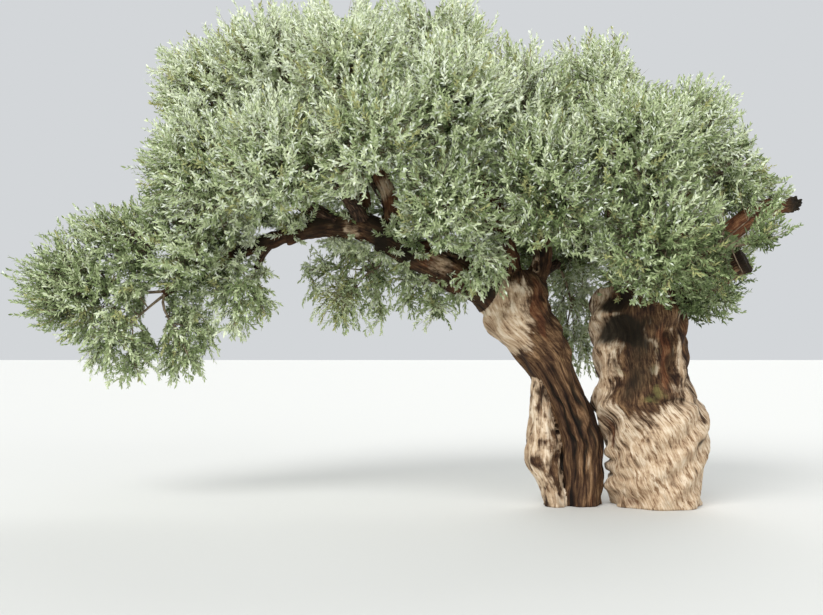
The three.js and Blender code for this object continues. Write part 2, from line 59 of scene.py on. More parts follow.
# Hollows and notches sink in and lips stand out: angle, height, half angle, half height and share of the radius.
STOUT_MARKS = [
    (-2.27, 1695, 0.46, 130, -0.40),   # the large hollow
    (-2.38, 2030, 0.42, 125, -0.30),   # the one above it
    (-1.95, 1320, 0.50, 270, -0.10),   # rotten middle
    (-1.17, 1480, 0.13, 320, -0.15),   # long groove
    (-0.82, 1400, 0.16, 250, 0.07),    # bleached rib beside it
    (-2.76, 1400, 0.24, 480, 0.05),    # left rib
    (-1.60, 1640, 0.12, 260, 0.05),
    (-1.10, 1025, 0.75, 26, -0.085),   # crease over the burl
    (-2.75, 750, 0.14, 210, -0.09),    # recess in the left side of the burl
    (3.02, 440, 0.40, 22, -0.18),      # notches in the left edge
    (3.02, 300, 0.42, 24, -0.20),
    (3.05, 600, 0.30, 30, -0.07),
    (-3.0, 180, 0.38, 60, 0.08),
    (-2.4, 60, 0.30, 90, -0.10),
    (-0.8, 610, 0.12, 60, -0.07),
    (-0.1, 120, 0.5, 200, -0.06),
    (0.9, 1500, 0.30, 420, -0.20),     # the far side is hollow and ribbed too
    (1.9, 900, 0.16, 520, -0.14),
    (2.55, 1650, 0.28, 260, -0.22),
    (0.2, 640, 0.14, 380, -0.09),
]
VOXEL = 12.8  # mm, the size of the finest relief that the wood's skin carries


def along(rows, shares):
    """Smooth values of every column of some rows, at shares from the first row to the last."""
    rows = np.array(rows, float)
    place = np.clip(np.asarray(shares, float) * (len(rows) - 1), 0, len(rows) - 1.000001)
    row = place.astype(int)
    f = (place - row)[:, None]
    a, b, c, d = (rows[np.clip(row + step, 0, len(rows) - 1)] for step in (-1, 0, 1, 2))
    return b + 0.5 * f * (c - a + f * (2 * a - 5 * b + 4 * c - d + f * (3 * (b - c) + d - a)))


def grain(points, seed=0):
    """Smooth seeded numbers from -1 to 1 at points whose unit is one cell of the pattern."""
    cell = np.floor(points).astype(np.int64)
    f = points - cell
    f = f * f * (3 - 2 * f)
    total = np.zeros(len(points))
    for corner in range(8):
        step = np.array([corner & 1, corner >> 1 & 1, corner >> 2 & 1])
        key = (cell + step) @ np.array([73856093, 19349663, 83492791]) + seed * 2654435761
        key = (key ^ key >> 13) * 1274126177 & 0xFFFFFFFF
        value = ((key ^ key >> 15) & 0xFFFF) / 32767.5 - 1
        total += value * np.prod(np.where(step, f, 1 - f), axis=1)
    return total


def marked(rows, angle, height):
    """Sum of marks at places on a stem's skin. A tall mark keeps its strength along most of its height."""
    total = np.zeros(len(angle))
    for mid_angle, mid_height, half_angle, half_height, share in rows:
        across = (np.remainder(angle - mid_angle + math.pi, 2 * math.pi) - math.pi) / half_angle
        up = np.abs((height - mid_height) / half_height)
        total += share * np.exp(-across ** 2 - up ** (4 if half_height > 180 else 2))
    return total


def ring_faces(rings, sides):
    """Faces of a closed tube, with a flat cap on each end."""
    faces = [(r * sides + s, r * sides + (s + 1) % sides, (r + 1) * sides + (s + 1) % sides, (r + 1) * sides + s)
             for r in range(rings - 1) for s in range(sides)]
    return faces + [tuple(range(sides))[::-1], tuple(range((rings - 1) * sides, rings * sides))]


def stem_skin(rows, marks):
    """Level rings up a stem: an oval section with winding flutes, the spread of the foot and its marks."""
    rings, sides = 190, 190
    flutes, depth, winding = 7, 0.045, 0.00045  # how many, their share of the radius, and turns in a millimetre
    roots, spread, low = 5, 0.04, 110  # of the foot, which dies away over the first 110 mm
    angle, height_share = np.meshgrid(np.arange(sides) * 2 * math.pi / sides - math.pi, np.linspace(0, 1, rings))
    angle, height_share = angle.ravel(), height_share.ravel()
    height, x, y, half_x, half_y = along(rows, height_share).T
    flute = 1 + depth * np.cos(flutes * (angle - 2 * math.pi * winding * height))
    foot = 1 + spread * np.exp(-height / low) * (1 + np.cos(roots * angle))
    share = flute * foot * (1 + marked(marks, angle, height))
    skin = np.column_stack([x + half_x * share * np.cos(angle), y + half_y * share * np.sin(angle), height])
    return skin, ring_faces(rings, sides)


def smooth_line(points, count):
    """Evenly spaced places on a smooth line through some points."""
    p = np.array(points, float)
    p = np.vstack([2 * p[0] - p[1], p, 2 * p[-1] - p[-2]])
    places = []
    for a, b, c, d in zip(p, p[1:], p[2:], p[3:]):
        ab, bc, cd = (np.linalg.norm(gap) ** 0.5 for gap in (b - a, c - b, d - c))
        start = ((b - a) / ab - (c - a) / (ab + bc) + (c - b) / bc) * bc
        end = ((c - b) / bc - (d - b) / (bc + cd) + (d - c) / cd) * bc
        t = np.linspace(0, 1, 60, endpoint=False)[:, None]
        places.append(b + start * t + (3 * (c - b) - 2 * start - end) * t ** 2 + (2 * (b - c) + start + end) * t ** 3)
    dense = np.vstack([*places, p[-2:-1]])
    gone = np.concatenate([[0], np.cumsum(np.linalg.norm(np.diff(dense, axis=0), axis=1))])
    at = np.linspace(0, gone[-1], count)
    return np.column_stack([np.interp(at, gone, dense[:, k]) for k in range(3)])


def unit(vectors):
    return vectors / np.maximum(np.linalg.norm(vectors, axis=-1, keepdims=True), 1e-9)


def line_frames(line):
    """Tangent, normal and third direction at each place of a line, turning as little as the line does."""
    way = unit(np.gradient(line, axis=0))
    side = np.zeros_like(way)
    first = np.eye(3)[np.abs(way[0]).argmin()]
    for n, ahead in enumerate(way):
        first = first - ahead * (first @ ahead)
        first = first / np.linalg.norm(first)
        side[n] = first
    return way, side, np.cross(way, side)


def bough_line(path, radii, collar, step):
    """Middle line, its frames and the radius of a tapering limb, with the swelling where it leaves."""
    length = np.linalg.norm(np.diff(smooth_line(path, 60), axis=0), axis=1).sum()
    line = smooth_line(path, max(6, int(length / step)))
    share = np.linspace(0, 1, len(line))
    radius = (radii[0] + (radii[1] - radii[0]) * share) * (1 + collar * np.exp(-share / 0.09))
    return {"line": line, "frames": line_frames(line), "radius": radius, "share": share, "length": length}


def bough_skin(limb, sides, knots, seed):
    """Closed tube round a limb's middle line, uneven all round and with knots."""
    line, (_, side, third) = limb["line"], limb["frames"]
    turn = np.arange(sides) * 2 * math.pi / sides
    lobe = 1 + 0.07 * np.cos(2 * turn + 3 * limb["share"][:, None]) + 0.05 * np.cos(3 * turn + 1.7)
    where = np.column_stack([line[:, 2], line[:, 0], line[:, 1]]).repeat(sides, 0) / 190
    round_it = np.tile(np.column_stack([np.cos(turn), np.sin(turn), np.zeros(sides)]), (len(line), 1))
    lobe = lobe * (1 + knots * grain(where + 1.3 * round_it, seed).reshape(len(line), sides))
    reach = limb["radius"][:, None] * lobe
    skin = (line[:, None] + side[:, None] * (reach * np.cos(turn))[..., None]
            + third[:, None] * (reach * np.sin(turn))[..., None])
    return skin.reshape(-1, 3), ring_faces(len(line), sides)


def plain_mesh(name, points, faces):
    """Mesh in metres from places in millimetres."""
    mesh = bpy.data.meshes.new(name)
    mesh.from_pydata((points * 0.001).tolist(), [], faces)
    return mesh


def laid_together(skins):
    """The places and faces of several skins as one list of each."""
    faces, start = [], 0
    for skin, own in skins:
        faces += [tuple(corner + start for corner in face) for face in own]
        start += len(skin)
    return np.vstack([skin for skin, _ in skins]), faces


def grown_together(name, skins):
    """One even skin round several closed skins that run into each other, as wood that fused."""
    rough = bpy.data.objects.new(name + "_rough", plain_mesh(name + "_rough", *laid_together(skins)))
    bpy.context.collection.objects.link(rough)
    even = rough.modifiers.new("even", "REMESH")
    even.mode = "VOXEL"
    even.voxel_size = VOXEL * 0.001
    mesh = bpy.data.meshes.new_from_object(rough.evaluated_get(bpy.context.evaluated_depsgraph_get()))
    bpy.data.objects.remove(rough)
    mesh.name = name
    return mesh


def places_and_normals(mesh):
    """Where a mesh's points are, in millimetres, and which way its skin faces there."""
    places, normals = np.empty(len(mesh.vertices) * 3), np.empty(len(mesh.vertices) * 3)
    mesh.vertices.foreach_get("co", places)
    mesh.vertex_normals.foreach_get("vector", normals)
    return places.reshape(-1, 3) * 1000, normals.reshape(-1, 3)


def on_stem(points, rows, winding):
    """Where places lie on a stem: how near its skin, angle, height, and grain coordinates. Each row of its winding
    gives height, how far the grain has turned there, and how much of the grain's length lies below."""
    table = along(rows, np.linspace(0, 1, 400))
    height = points[:, 2]
    x, y, half_x, half_y = (np.interp(height, table[:, 0], table[:, k]) for k in (1, 2, 3, 4))
    angle = np.arctan2((points[:, 1] - y) / half_y, (points[:, 0] - x) / half_x)
    reach = np.hypot((points[:, 0] - x) / half_x, (points[:, 1] - y) / half_y)
    turned, grown = (np.interp(height, *np.array(winding, float)[:, [0, k]].T) for k in (1, 2))
    wound = angle + turned
    size = np.mean([half_x.mean(), half_y.mean()])
    return {"off": np.abs(reach - 1) * size, "angle": angle, "height": height, "share": height / table[-1, 0],
            "fibre": np.column_stack([size * np.cos(wound), size * np.sin(wound), grown])}


def on_bough(points, limb):
    """The same for places on a limb."""
    line, (way, side, third) = limb["line"], limb["frames"]
    nearest = np.concatenate([((part[:, None] - line) ** 2).sum(-1).argmin(1)
                              for part in np.array_split(points, len(points) // 4000 + 1)])
    arm = points - line[nearest]
    u, v, ahead = ((arm * frame_way[nearest]).sum(1) for frame_way in (side, third, way))
    step = limb["length"] / (len(line) - 1)
    reach = np.hypot(u, v)
    radius = limb["radius"][nearest]
    off = np.abs(reach - radius) + 3 * np.maximum(0, np.abs(ahead) - step)
    share = np.clip((nearest * step + ahead) / limb["length"], 0, 1)
    return {"off": off, "angle": np.arctan2(v, u), "height": nearest * step + ahead, "share": share,
            "fibre": np.column_stack([u / np.maximum(reach, 1) * radius, v / np.maximum(reach, 1) * radius,
                                      nearest * step + ahead])}


def ridges(fibre, across, lengthways, seed):
    """Strands along the grain, 1 on their crests and 0 or less between them."""
    cells = fibre / (across, across, lengthways)
    bend = 0.2 * grain(cells * 0.3, seed + 50)
    return 1 - 2.2 * np.abs(grain(cells + bend[:, None], seed))


def finish_wood(mesh, places, cords, masks):
    """Moves a skin in and out by its relief, and keeps where the wood is bleached, red or green, and where painted
    shade darkens its recesses and its grooves, for the material. The cords are given by their width, length and depth
    in millimetres."""
    chosen = np.argmin([place["off"] for place in places], axis=0)
    fibre = np.choose(chosen[:, None], [place["fibre"] for place in places])
    angle, height, share = (
        np.choose(chosen, [place[key] for place in places]) for key in ("angle", "height", "share"))
    points, normals = places_and_normals(mesh)
    broad = grain(points / 260, 3) * 11 + grain(points / 105, 4) * 3  # swellings 11 and 3 mm high
    chips = grain(fibre / (30, 30, 60), 13)  # 30 mm wide and 60 mm long
    shade_mask, pale, red, moss, extra = masks(chosen, angle, height, share, points)
    smooth = 1 - 0.85 * np.clip(pale, 0, 1)  # bleached wood has lost its bark, and rain has levelled it
    strands = ridges(fibre, *cords[:2], 11) * smooth
    fine = ridges(fibre, 40, 150, 12)  # cords 40 mm wide and 150 mm long
    relief = broad + cords[2] * (strands - 0.25) + 4 * fine + (3 + 3 * smooth) * chips + extra
    low = points[:, 2] < 9  # the cut under the stem stays flat
    points = points + normals * relief[:, None] * np.where(low, 0.25, 1)[:, None]
    points[low, 2] = 0
    points[:, 2] = np.maximum(points[:, 2], 0)
    mesh.vertices.foreach_set("co", (points * 0.001).ravel())
    # Painted shade: the deeper a place lies in the relief, the darker its colour is made.
    groove_shade = np.clip(0.36 - 0.26 * strands - 0.2 * fine - (0.16 + 0.16 * smooth) * chips - 0.014 * extra, 0, 1)
    for name, values in (("hollow", shade_mask), ("groove_shade", groove_shade), ("bleached", pale), ("red", red), ("moss", moss)):
        mesh.attributes.new(name, "FLOAT", "POINT").data.foreach_set("value", np.clip(values, 0, 1))
    mesh.attributes.new("fibre", "FLOAT_VECTOR", "POINT").data.foreach_set("vector", (fibre * 0.001).ravel())
    mesh.polygons.foreach_set("use_smooth", np.ones(len(mesh.polygons), bool))
    mesh.update()


def linear(code):
    """An sRGB colour as the renderer wants it."""
    parts = [int(code[k:k + 2], 16) / 255 for k in (1, 3, 5)]
    return (*(p / 12.92 if p < 0.04045 else ((p + 0.055) / 1.055) ** 2.4 for p in parts), 1)


def add(tree, kind, settings=(), stops=(), gives=0, **sockets):
    """One node, and the output that it gives. A socket, called by its name or by i and its number, takes a value or
    another node's output. A run of colours takes its stops."""
    made = tree.nodes.new("ShaderNode" + kind)
    for key, value in dict(settings).items():
        setattr(made, key, value)
    for key, value in sockets.items():
        numbered = key[0] == "i" and key[1:].isdigit()
        socket = made.inputs[int(key[1:]) if numbered else key.replace("_", " ")]
        if isinstance(value, bpy.types.NodeSocket):
            tree.links.new(value, socket)
        else:
            socket.default_value = value
    if stops:
        for _ in stops[2:]:
            made.color_ramp.elements.new(0.5)
        for element, (place, code) in zip(made.color_ramp.elements, stops):
            element.position = place
            element.color = linear(code)
    return made.outputs[gives]


def finish(name, **values):
    """A new material with its nodes and its surface, which has these values all over."""
    made = bpy.data.materials.new(name)
    made.use_nodes = True
    surface = made.node_tree.nodes["Principled BSDF"]
    for key, value in values.items():
        surface.inputs[key.replace("_", " ")].default_value = value
    return made, made.node_tree, surface


# Old olive wood, weathered: rough dry fibre with almost no gloss. Its strands run with the grain. Where the bark is
# gone rain and sun bleached it to cream, rot leaves it rust red, and moss greens it. Painted shade darkens the
# grooves between the strands to umber, and the hollows, creases, cut ends and the arching limb almost to black.
old_wood, tree, surface = finish("weathered_olive_wood", IOR=1.5, Roughness=0.88, Specular_IOR_Level=0.25)
mask = {name: add(tree, "Attribute", {"attribute_name": name}, gives="Fac")
        for name in ("hollow", "groove_shade", "bleached", "red", "moss")}
fibre_place = add(tree, "Attribute", {"attribute_name": "fibre"}, gives="Vector")
# Fibres are 2 to 5 mm apart, drawn 14 mm apart so that they show. Streaks are 33 mm across and 200 mm long, the dark
# strokes of dry checks 22 mm across and 90 mm long, and stains 110 mm wide.
stretched = add(tree, "Mapping", Vector=fibre_place, Scale=(72, 72, 10))
fibres = add(tree, "TexNoise", Vector=stretched, Scale=1.0, Detail=6.0, Roughness=0.7)
wide = add(tree, "Mapping", Vector=fibre_place, Scale=(30, 30, 5))
streaks = add(tree, "TexNoise", Vector=wide, Scale=1.0, Detail=4.0, Roughness=0.6)
drawn = add(tree, "Mapping", Vector=fibre_place, Scale=(46, 46, 11))
strokes = add(tree, "TexNoise", Vector=drawn, Scale=1.0, Detail=3.0, Roughness=0.55)
stain = add(tree, "TexNoise", Vector=fibre_place, Scale=9.0, Detail=6.0, Roughness=0.66)
times_plus = {"operation": "MULTIPLY_ADD"}  # the first socket times the second, plus the third
shade = 0.0462  # how light the wood is; the grooves between the strands are made darker as painted shade
for pattern, share in ((mask["groove_shade"], -0.11), (stain, 0.34), (streaks, 0.2), (fibres, 0.46)):
    shade = add(tree, "Math", times_plus, i0=pattern, i1=share, i2=shade)
bark, bleached, red = (add(tree, "ValToRGB", stops=stops, Fac=shade) for stops in (
    ((0.39, "#180F09"), (0.47, "#362317"), (0.54, "#58402B"), (0.63, "#927353")),
    ((0.38, "#6A523C"), (0.46, "#A4896D"), (0.52, "#C2A98B"), (0.62, "#E4D4BC")),
    ((0.38, "#1C0F09"), (0.46, "#432819"), (0.54, "#653F28"), (0.65, "#94704F"))))
# The patterns break up the edges of the places where the wood is bleached, red or green, and the edges of the painted
# shade.
frayed = add(tree, "Math", times_plus, i0=streaks, i1=0.6, i2=0.0)
frayed = add(tree, "Math", times_plus, i0=stain, i1=0.4, i2=frayed)
edge = {name: add(tree, "Math", times_plus, i0=pattern, i1=share, i2=mask[name]) for name, pattern, share in (
    ("bleached", frayed, 2.4), ("red", streaks, 1.4), ("moss", stain, 3.0), ("hollow", frayed, 1.3))}
# What lies on the bark, in turn: how it is laid on, its colour, where, the values there at which it starts and covers
# fully, and how strong it is then.
wood = bark
for how, colour, where, none, full, most in (
        ("MIX", bleached, edge["bleached"], 1.46, 1.94, 1.0),
        ("MULTIPLY", linear("#9A8269"), strokes, 0.43, 0.36, 0.8),
        ("MIX", red, edge["red"], 1.0, 1.45, 1.0),
        ("MIX", linear("#6A6A3C"), edge["moss"], 1.85, 2.6, 0.6),
        # Painted shade: the grooves between the strands are darkened to umber.
        ("MULTIPLY", linear("#3A281C"), mask["groove_shade"], 0.3, 1.0, 1.0),
        # Painted shade: hollows, creases, cut ends, the gaps between the cords and the whole arch are darkened almost
        # to black.
        ("MIX", linear("#1B160C"), edge["hollow"], 0.75, 1.47, 0.96)):
    cover = add(tree, "MapRange", {"interpolation_type": "SMOOTHSTEP"}, Value=where, From_Min=none, From_Max=full,
                To_Max=most)
    wood = add(tree, "Mix", {"data_type": "RGBA", "blend_type": how}, gives=2, i0=cover, i6=wood, i7=colour)
tree.links.new(wood, surface.inputs["Base Color"])
relief = add(tree, "Math", times_plus, i0=streaks, i1=0.8, i2=fibres)
tree.links.new(add(tree, "Bump", Height=relief, Strength=0.65, Distance=0.014), surface.inputs["Normal"])


def show(name, mesh, material, nodes):
    """Puts a finished mesh in the scene as a piece that stands for some of the part's solids."""
    piece = bpy.data.objects.new(name, mesh)
    bpy.context.collection.objects.link(piece)
    for one in material if isinstance(material, list) else [material]:
        mesh.materials.append(one)
    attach(piece, "root")
    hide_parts(*nodes)


# The limbs of the stout stem: one is broken off ragged, one is sawn off, and two rise into the crown.
SAWN_END = [(40, 0, 1960), (430, -60, 2400), (860, -90, 2790), (1190, -60, 2960), (1465, -20, 2995)]
SAWN_STUMP = [(60, -60, 1900), (400, -260, 2140), (640, -400, 2310), (775, -480, 2385)]
broken_limb = bough_line(SAWN_END, (120, 82), 0.22, 22)
broken_limb["radius"] = broken_limb["radius"] * (1 - 0.35 * np.clip((broken_limb["share"] - 0.9) / 0.1, 0, 1))
stump = bough_line(SAWN_STUMP, (150, 112), 0.22, 20)
RIGHT_RISE = [(-260, 0, 2050), (-340, -20, 2480), (-430, -60, 2930), (-520, -60, 3330)]
RIGHT_CROWN = [(-20, 0, 2050), (130, -60, 2480), (260, -110, 2880), (290, -120, 3130)]
right_rise, right_crown = bough_line(RIGHT_RISE, (140, 58), 0.22, 26), bough_line(RIGHT_CROWN, (120, 52), 0.22, 26)
stout_limbs = [broken_limb, stump, right_rise, right_crown]


def stout_masks(chosen, angle, height, share, points):
    """Where the stout stem and its limbs are bleached, red or green, where painted shade darkens their hollows,
    creases and cut ends, and the relief that only they have.
    """
    stem, broken, sawn = chosen == 0, chosen == 1, chosen == 2
    wander = 0.16 * grain(points / 130, 21)  # so that the edges of the marks aren't even
    a, h = angle + wander, height + 420 * wander
    # Painted shade, darkest in the hollows, the crease over the burl, the notches, the long groove and the far side's
    # recesses.
    hollow = marked([
        (-2.36, 1725, 0.4, 105, 1.2), (-2.05, 1690, 0.36, 120, 1.1), (-2.28, 2030, 0.5, 115, 1.0),
        (-1.75, 1480, 0.4, 380, 0.5), (-2.05, 1180, 0.2, 160, 0.4), (3.02, 440, 0.3, 18, 0.9),
        (3.02, 300, 0.32, 20, 0.9), (-1.15, 1012, 0.7, 16, 0.6), (0.9, 1500, 0.22, 330, 0.8),
        (2.55, 1650, 0.2, 200, 0.8), (1.9, 900, 0.1, 420, 0.6), (-1.06, 1480, 0.06, 280, 0.5),
        (-0.8, 610, 0.1, 50, 0.6)], a, h)
    red = marked([
        (-1.18, 1480, 0.14, 330, 1.0), (-2.2, 2080, 0.4, 170, 0.7), (-2.3, 70, 0.25, 80, 0.6),
        (-2.85, 620, 0.1, 150, 0.5), (-0.5, 1650, 0.2, 240, 0.5), (-2.76, 760, 0.13, 220, 0.4),
        (0.7, 1700, 0.4, 350, 0.6), (2.3, 1500, 0.3, 400, 0.6)], a, h)
    moss = marked([(-1.56, 1100, 0.24, 110, 0.9), (-1.45, 1350, 0.12, 200, 0.5), (-2.3, 1250, 0.2, 200, 0.3),
                   (1.4, 1250, 0.4, 260, 0.6)], a, h)
    far_side = np.clip((angle + 1.1) / 0.4, 0, 1) * np.clip((2.9 - angle) / 0.4, 0, 1)
    tongues = h + 520 * far_side * grain(points / (85, 85, 520), 24)  # of bark that reach down into the bare wood
    brown = marked([
        (-1.9, 1450, 0.6, 480, 1.0), (-1.5, 2050, 1.1, 300, 0.9), (-1.9, 1060, 0.5, 170, 0.5),
        (-1.58, 1740, 0.08, 170, -0.45), (-1.48, 1570, 0.08, 170, -0.45), (-1.38, 1400, 0.08, 170, -0.4),
        (-1.2, 1550, 0.3, 420, 0.6), (-0.45, 1600, 0.46, 520, 0.95), (-2.76, 760, 0.18, 240, 0.6),
        (-2.1, 800, 0.4, 200, 0.3), (-1.0, 1080, 0.5, 110, 0.35), (1.15, 1720, 0.8, 480, 0.8),
        (2.7, 1650, 0.5, 620, 0.8), (0.02, 1600, 0.24, 760, 0.7), (0.65, 850, 0.1, 420, 0.7),
        (1.5, 650, 0.14, 520, 0.7), (2.35, 600, 0.12, 480, 0.6), (2.9, 950, 0.2, 300, 0.5)], a, tongues)
    pale = 0.85 - 0.85 * brown + marked([
        (-0.88, 1480, 0.035, 220, 0.6), (-0.84, 1230, 0.05, 150, 0.4), (-2.85, 1400, 0.3, 450, 0.25),
        (-1.9, 100, 1.2, 160, 0.4), (-2.35, 1885, 0.3, 35, 0.55)], a, h)
    folds = marked([(-2.6, 330, 0.6, 260, 1.0)], angle, height)
    extra = 3 * folds * np.sin(height / 15 + 3.2 * grain(points / 160, 22) + 1.2 * angle)
    ragged = np.clip((share - 0.87) / 0.1, 0, 1) * broken
    extra = np.where(stem, extra, ragged * 34 * grain(points / 30, 23) - 6)
    # Painted shade on the sawn face and on the ragged broken end.
    hollow = np.where(stem, hollow, np.where(sawn, 0.7 * np.clip((share - 0.86) / 0.1, 0, 1), 0.9 * ragged))
    pale = np.where(stem, pale, 0.1)
    red = np.where(stem, red, np.where(broken, 0.8 - ragged, np.where(sawn, 0.15, 0.1)))
    return hollow, pale, red, np.where(stem, moss, 0), extra


stout_mesh = grown_together("stout_stem", [stem_skin(STOUT_STEM, STOUT_MARKS)] + [
    bough_skin(limb, 44, 0.1, 5 + k) for k, limb in enumerate(stout_limbs)])
skin, _ = places_and_normals(stout_mesh)
finish_wood(stout_mesh, [
    on_stem(skin, STOUT_STEM, [(0, 0, 0), (1000, 0.8, 1000), (2300, 0.8, 2300)]),
    *(on_bough(skin, limb) for limb in stout_limbs)], (80, 420, 9), stout_masks)
show("stout_stem_wood", stout_mesh, old_wood,
     ["trunk_right", "bough_sawn_end", "bough_sawn_stump", "bough_right_rise", "bough_right_crown"])


# The leaning stem. A brown strand of live wood with tan cords down it, fused at its left side to a grey slab of dead
# wood, and spreading at its top into a bare bleached bole. The arching limb goes on from the bole, dark and smooth;
# much of its darkness is painted shade.
LEANING_STEM = [
    (0, -760, 60, 205, 260), (330, -740, 60, 205, 240), (650, -755, 50, 225, 230), (1000, -890, 40, 225, 225),
    (1250, -1010, 20, 230, 230), (1510, -1150, 0, 295, 260), (1730, -1305, 0, 370, 300), (1930, -1380, 0, 335, 300),
    (2130, -1365, 0, 300, 270), (2260, -1350, 0, 215, 200), (2330, -1345, 0, 110, 100),
]
SLAB = [
    (0, -1015, -60, 110, 180), (200, -1060, -60, 112, 170), (430, -1145, -60, 175, 180), (650, -1140, -50, 165, 170),
    (910, -1150, -40, 108, 150), (1200, -1160, -20, 85, 120), (1400, -1180, 0, 60, 90),
]
ARCH_RISE = [(-1420, 0, 1960), (-1950, -30, 2290), (-2380, -50, 2500), (-2720, -50, 2690)]
ARCH_CREST = [(-3080, -40, 2780), (-3430, -10, 2760), (-3700, 0, 2680)]
rise = bough_line(ARCH_RISE, (200, 160), 0.22, 20)
ARCH_FALL = [(-4120, 10, 2530), (-4560, 20, 2290), (-4930, 20, 2090)]


def going_on(limb, path, radii):
    """A limb that goes on from the tip of another."""
    tip, ahead = limb["line"][-1], limb["frames"][0][-1]
    return bough_line([tip, tip + 90 * ahead, *map(np.array, path)], radii, 0, 20)


crest = going_on(rise, ARCH_CREST, (158, 85))
fall = going_on(crest, ARCH_FALL, (82, 42))
arch = {"arch_rise": rise, "arch_crest": crest, "arch_fall": fall}
for name, radii, path in (
        ("left_crown", (105, 50), [(-2960, -30, 2780), (-2960, 60, 3120), (-3240, 160, 3560), (-3560, 200, 3950)]),
        ("centre_rise", (100, 50), [(-2600, -50, 2630), (-2660, -130, 3050), (-2860, -170, 3550),
                                    (-2990, -180, 3920)]),
        ("upright", (150, 62), [(-1450, 0, 2080), (-1480, -10, 2480), (-1640, -30, 3010), (-1900, -20, 3520),
                                (-2060, 0, 3860)]),
        ("second_upright", (110, 55), [(-1240, 10, 2100), (-1130, 0, 2420), (-1170, -60, 2830), (-1290, -80, 3230)]),
        ("arm_upper", (70, 46), [(-3500, 30, 2780), (-3850, 120, 2870), (-4250, 160, 2830)])):
    arch[name] = bough_line(path, radii, 0.22, 26)


def leaning_masks(chosen, angle, height, share, points):
    """Where the leaning stem, slab and arch are bleached or red, where painted shade darkens them, and the relief
    that only they have.
    """
    wander = 0.2 * grain(points / 120, 31)
    a, h = angle + wander, height + 240 * wander
    strand, slab = chosen == 0, chosen == 1
    pits = np.clip(grain(points / 45, 32) - 0.3, 0, 1) + np.clip(1.2 * grain(points / 80, 33) - 0.35, 0, 1)
    # Rotten pits on the slab, and a painted shadow down its right side where it meets the strand (the third mark).
    rot_and_shadow = marked([(-1.78, 1040, 0.45, 90, 0.9), (-2.1, 430, 0.42, 70, 1.0), (-1.0, 400, 0.4, 330, 0.8),
                     (-1.5, 180, 0.4, 90, 0.5), (1.4, 700, 0.6, 300, 0.7)], a, h)
    bole = marked([(-2.15, 1880, 0.72, 340, 1.1), (-2.85, 1800, 0.5, 300, 0.8), (-1.3, 1540, 0.4, 140, -1.0)], a, h)
    cords = marked([(-1.76, 750, 0.13, 680, 1.0), (-1.24, 800, 0.11, 420, 0.8), (-2.5, 450, 0.12, 480, 0.5),
                    (0.3, 900, 0.14, 700, 0.7), (1.6, 900, 0.16, 700, 0.7)], a, h)
    gaps = marked([(-2.02, 850, 0.1, 420, 1.0), (-1.48, 780, 0.08, 600, 0.8), (-2.95, 560, 0.25, 450, 0.9),
                   (-0.95, 900, 0.12, 500, 0.7), (0.9, 900, 0.15, 700, 0.7)], a, h)
    # Three spots on the arch painted paler and pinkish; the arch's painted shade is lifted there.
    pinkish_spots = (((-3035, -190, 2690), 95), ((-2175, -200, 2400), 130), ((-2715, -190, 3110), 120))
    pinkish = sum(1.2 * np.exp(-((points - middle) ** 2).sum(1) / reach ** 2) for middle, reach in pinkish_spots)
    rust = marked([(-0.95, 2050, 0.3, 190, 1.0), (-1.2, 1780, 0.2, 190, 0.9), (-1.2, 60, 0.3, 120, 0.5),
                   (0.8, 1500, 0.6, 400, 0.7)], a, h)
    # Painted shade over the whole arch, uneven, and lifted at the pinkish spots.
    on_arch = 0.58 + 0.35 * grain(points / 130, 36) - 1.3 * pinkish
    kinds = [slab, strand, chosen <= 4]  # the third are the three lengths of the arch, and the rest its risers
    # Painted shade in the slab's pits, in the gaps between the strand's cords, over the arch, and a little on its
    # risers.
    hollow = np.select(kinds, [0.45 * pits, 0.75 * gaps - 0.3 * cords, on_arch], 0.25)
    pale = np.select(kinds[:2], [0.78 - 0.65 * pits - 0.7 * rot_and_shadow, 1.25 * bole + 0.2 * cords], 0.85 * pinkish)
    red = np.select(kinds[:2], [np.full(len(points), 0.1), np.maximum(rust, 0.35 * cords)],
                    0.42 + 0.5 * grain(points / 200, 35) - 0.24 * pinkish)
    extra = np.select(kinds[:2], [-14 * pits - 12 * rot_and_shadow, 18 * cords - 26 * gaps], -2 + 9 * grain(points / 60, 37))
    return hollow, pale, red, np.zeros(len(points)), extra


leaning_mesh = grown_together("leaning_stem", [
    stem_skin(LEANING_STEM, [(-1.35, 700, 0.2, 300, -0.12), (-2.35, 420, 0.25, 380, 0.06),
                             (0.4, 900, 0.3, 500, -0.12), (1.8, 1200, 0.3, 500, -0.14)]),
    stem_skin(SLAB, [(-2.2, 330, 0.3, 60, -0.12), (-1.7, 620, 0.3, 70, -0.1), (1.5, 500, 0.4, 200, -0.12)]),
    *(bough_skin(limb, max(24, int(limb["radius"][0] / 3)), 0.13, 60 + k) for k, limb in enumerate(arch.values()))])
skin, _ = places_and_normals(leaning_mesh)
finish_wood(leaning_mesh, [
    on_stem(skin, LEANING_STEM, [(0, 0, 0), (1400, 0, 560), (2330, 0.9, 1490)]),
    on_stem(skin, SLAB, [(0, 0, 0), (1400, 0.2, 1000)]), *(on_bough(skin, limb) for limb in arch.values())],
    (80, 400, 11), leaning_masks)
show("leaning_stem_wood", leaning_mesh, old_wood, ["trunk_left"] + ["bough_" + name for name in arch])


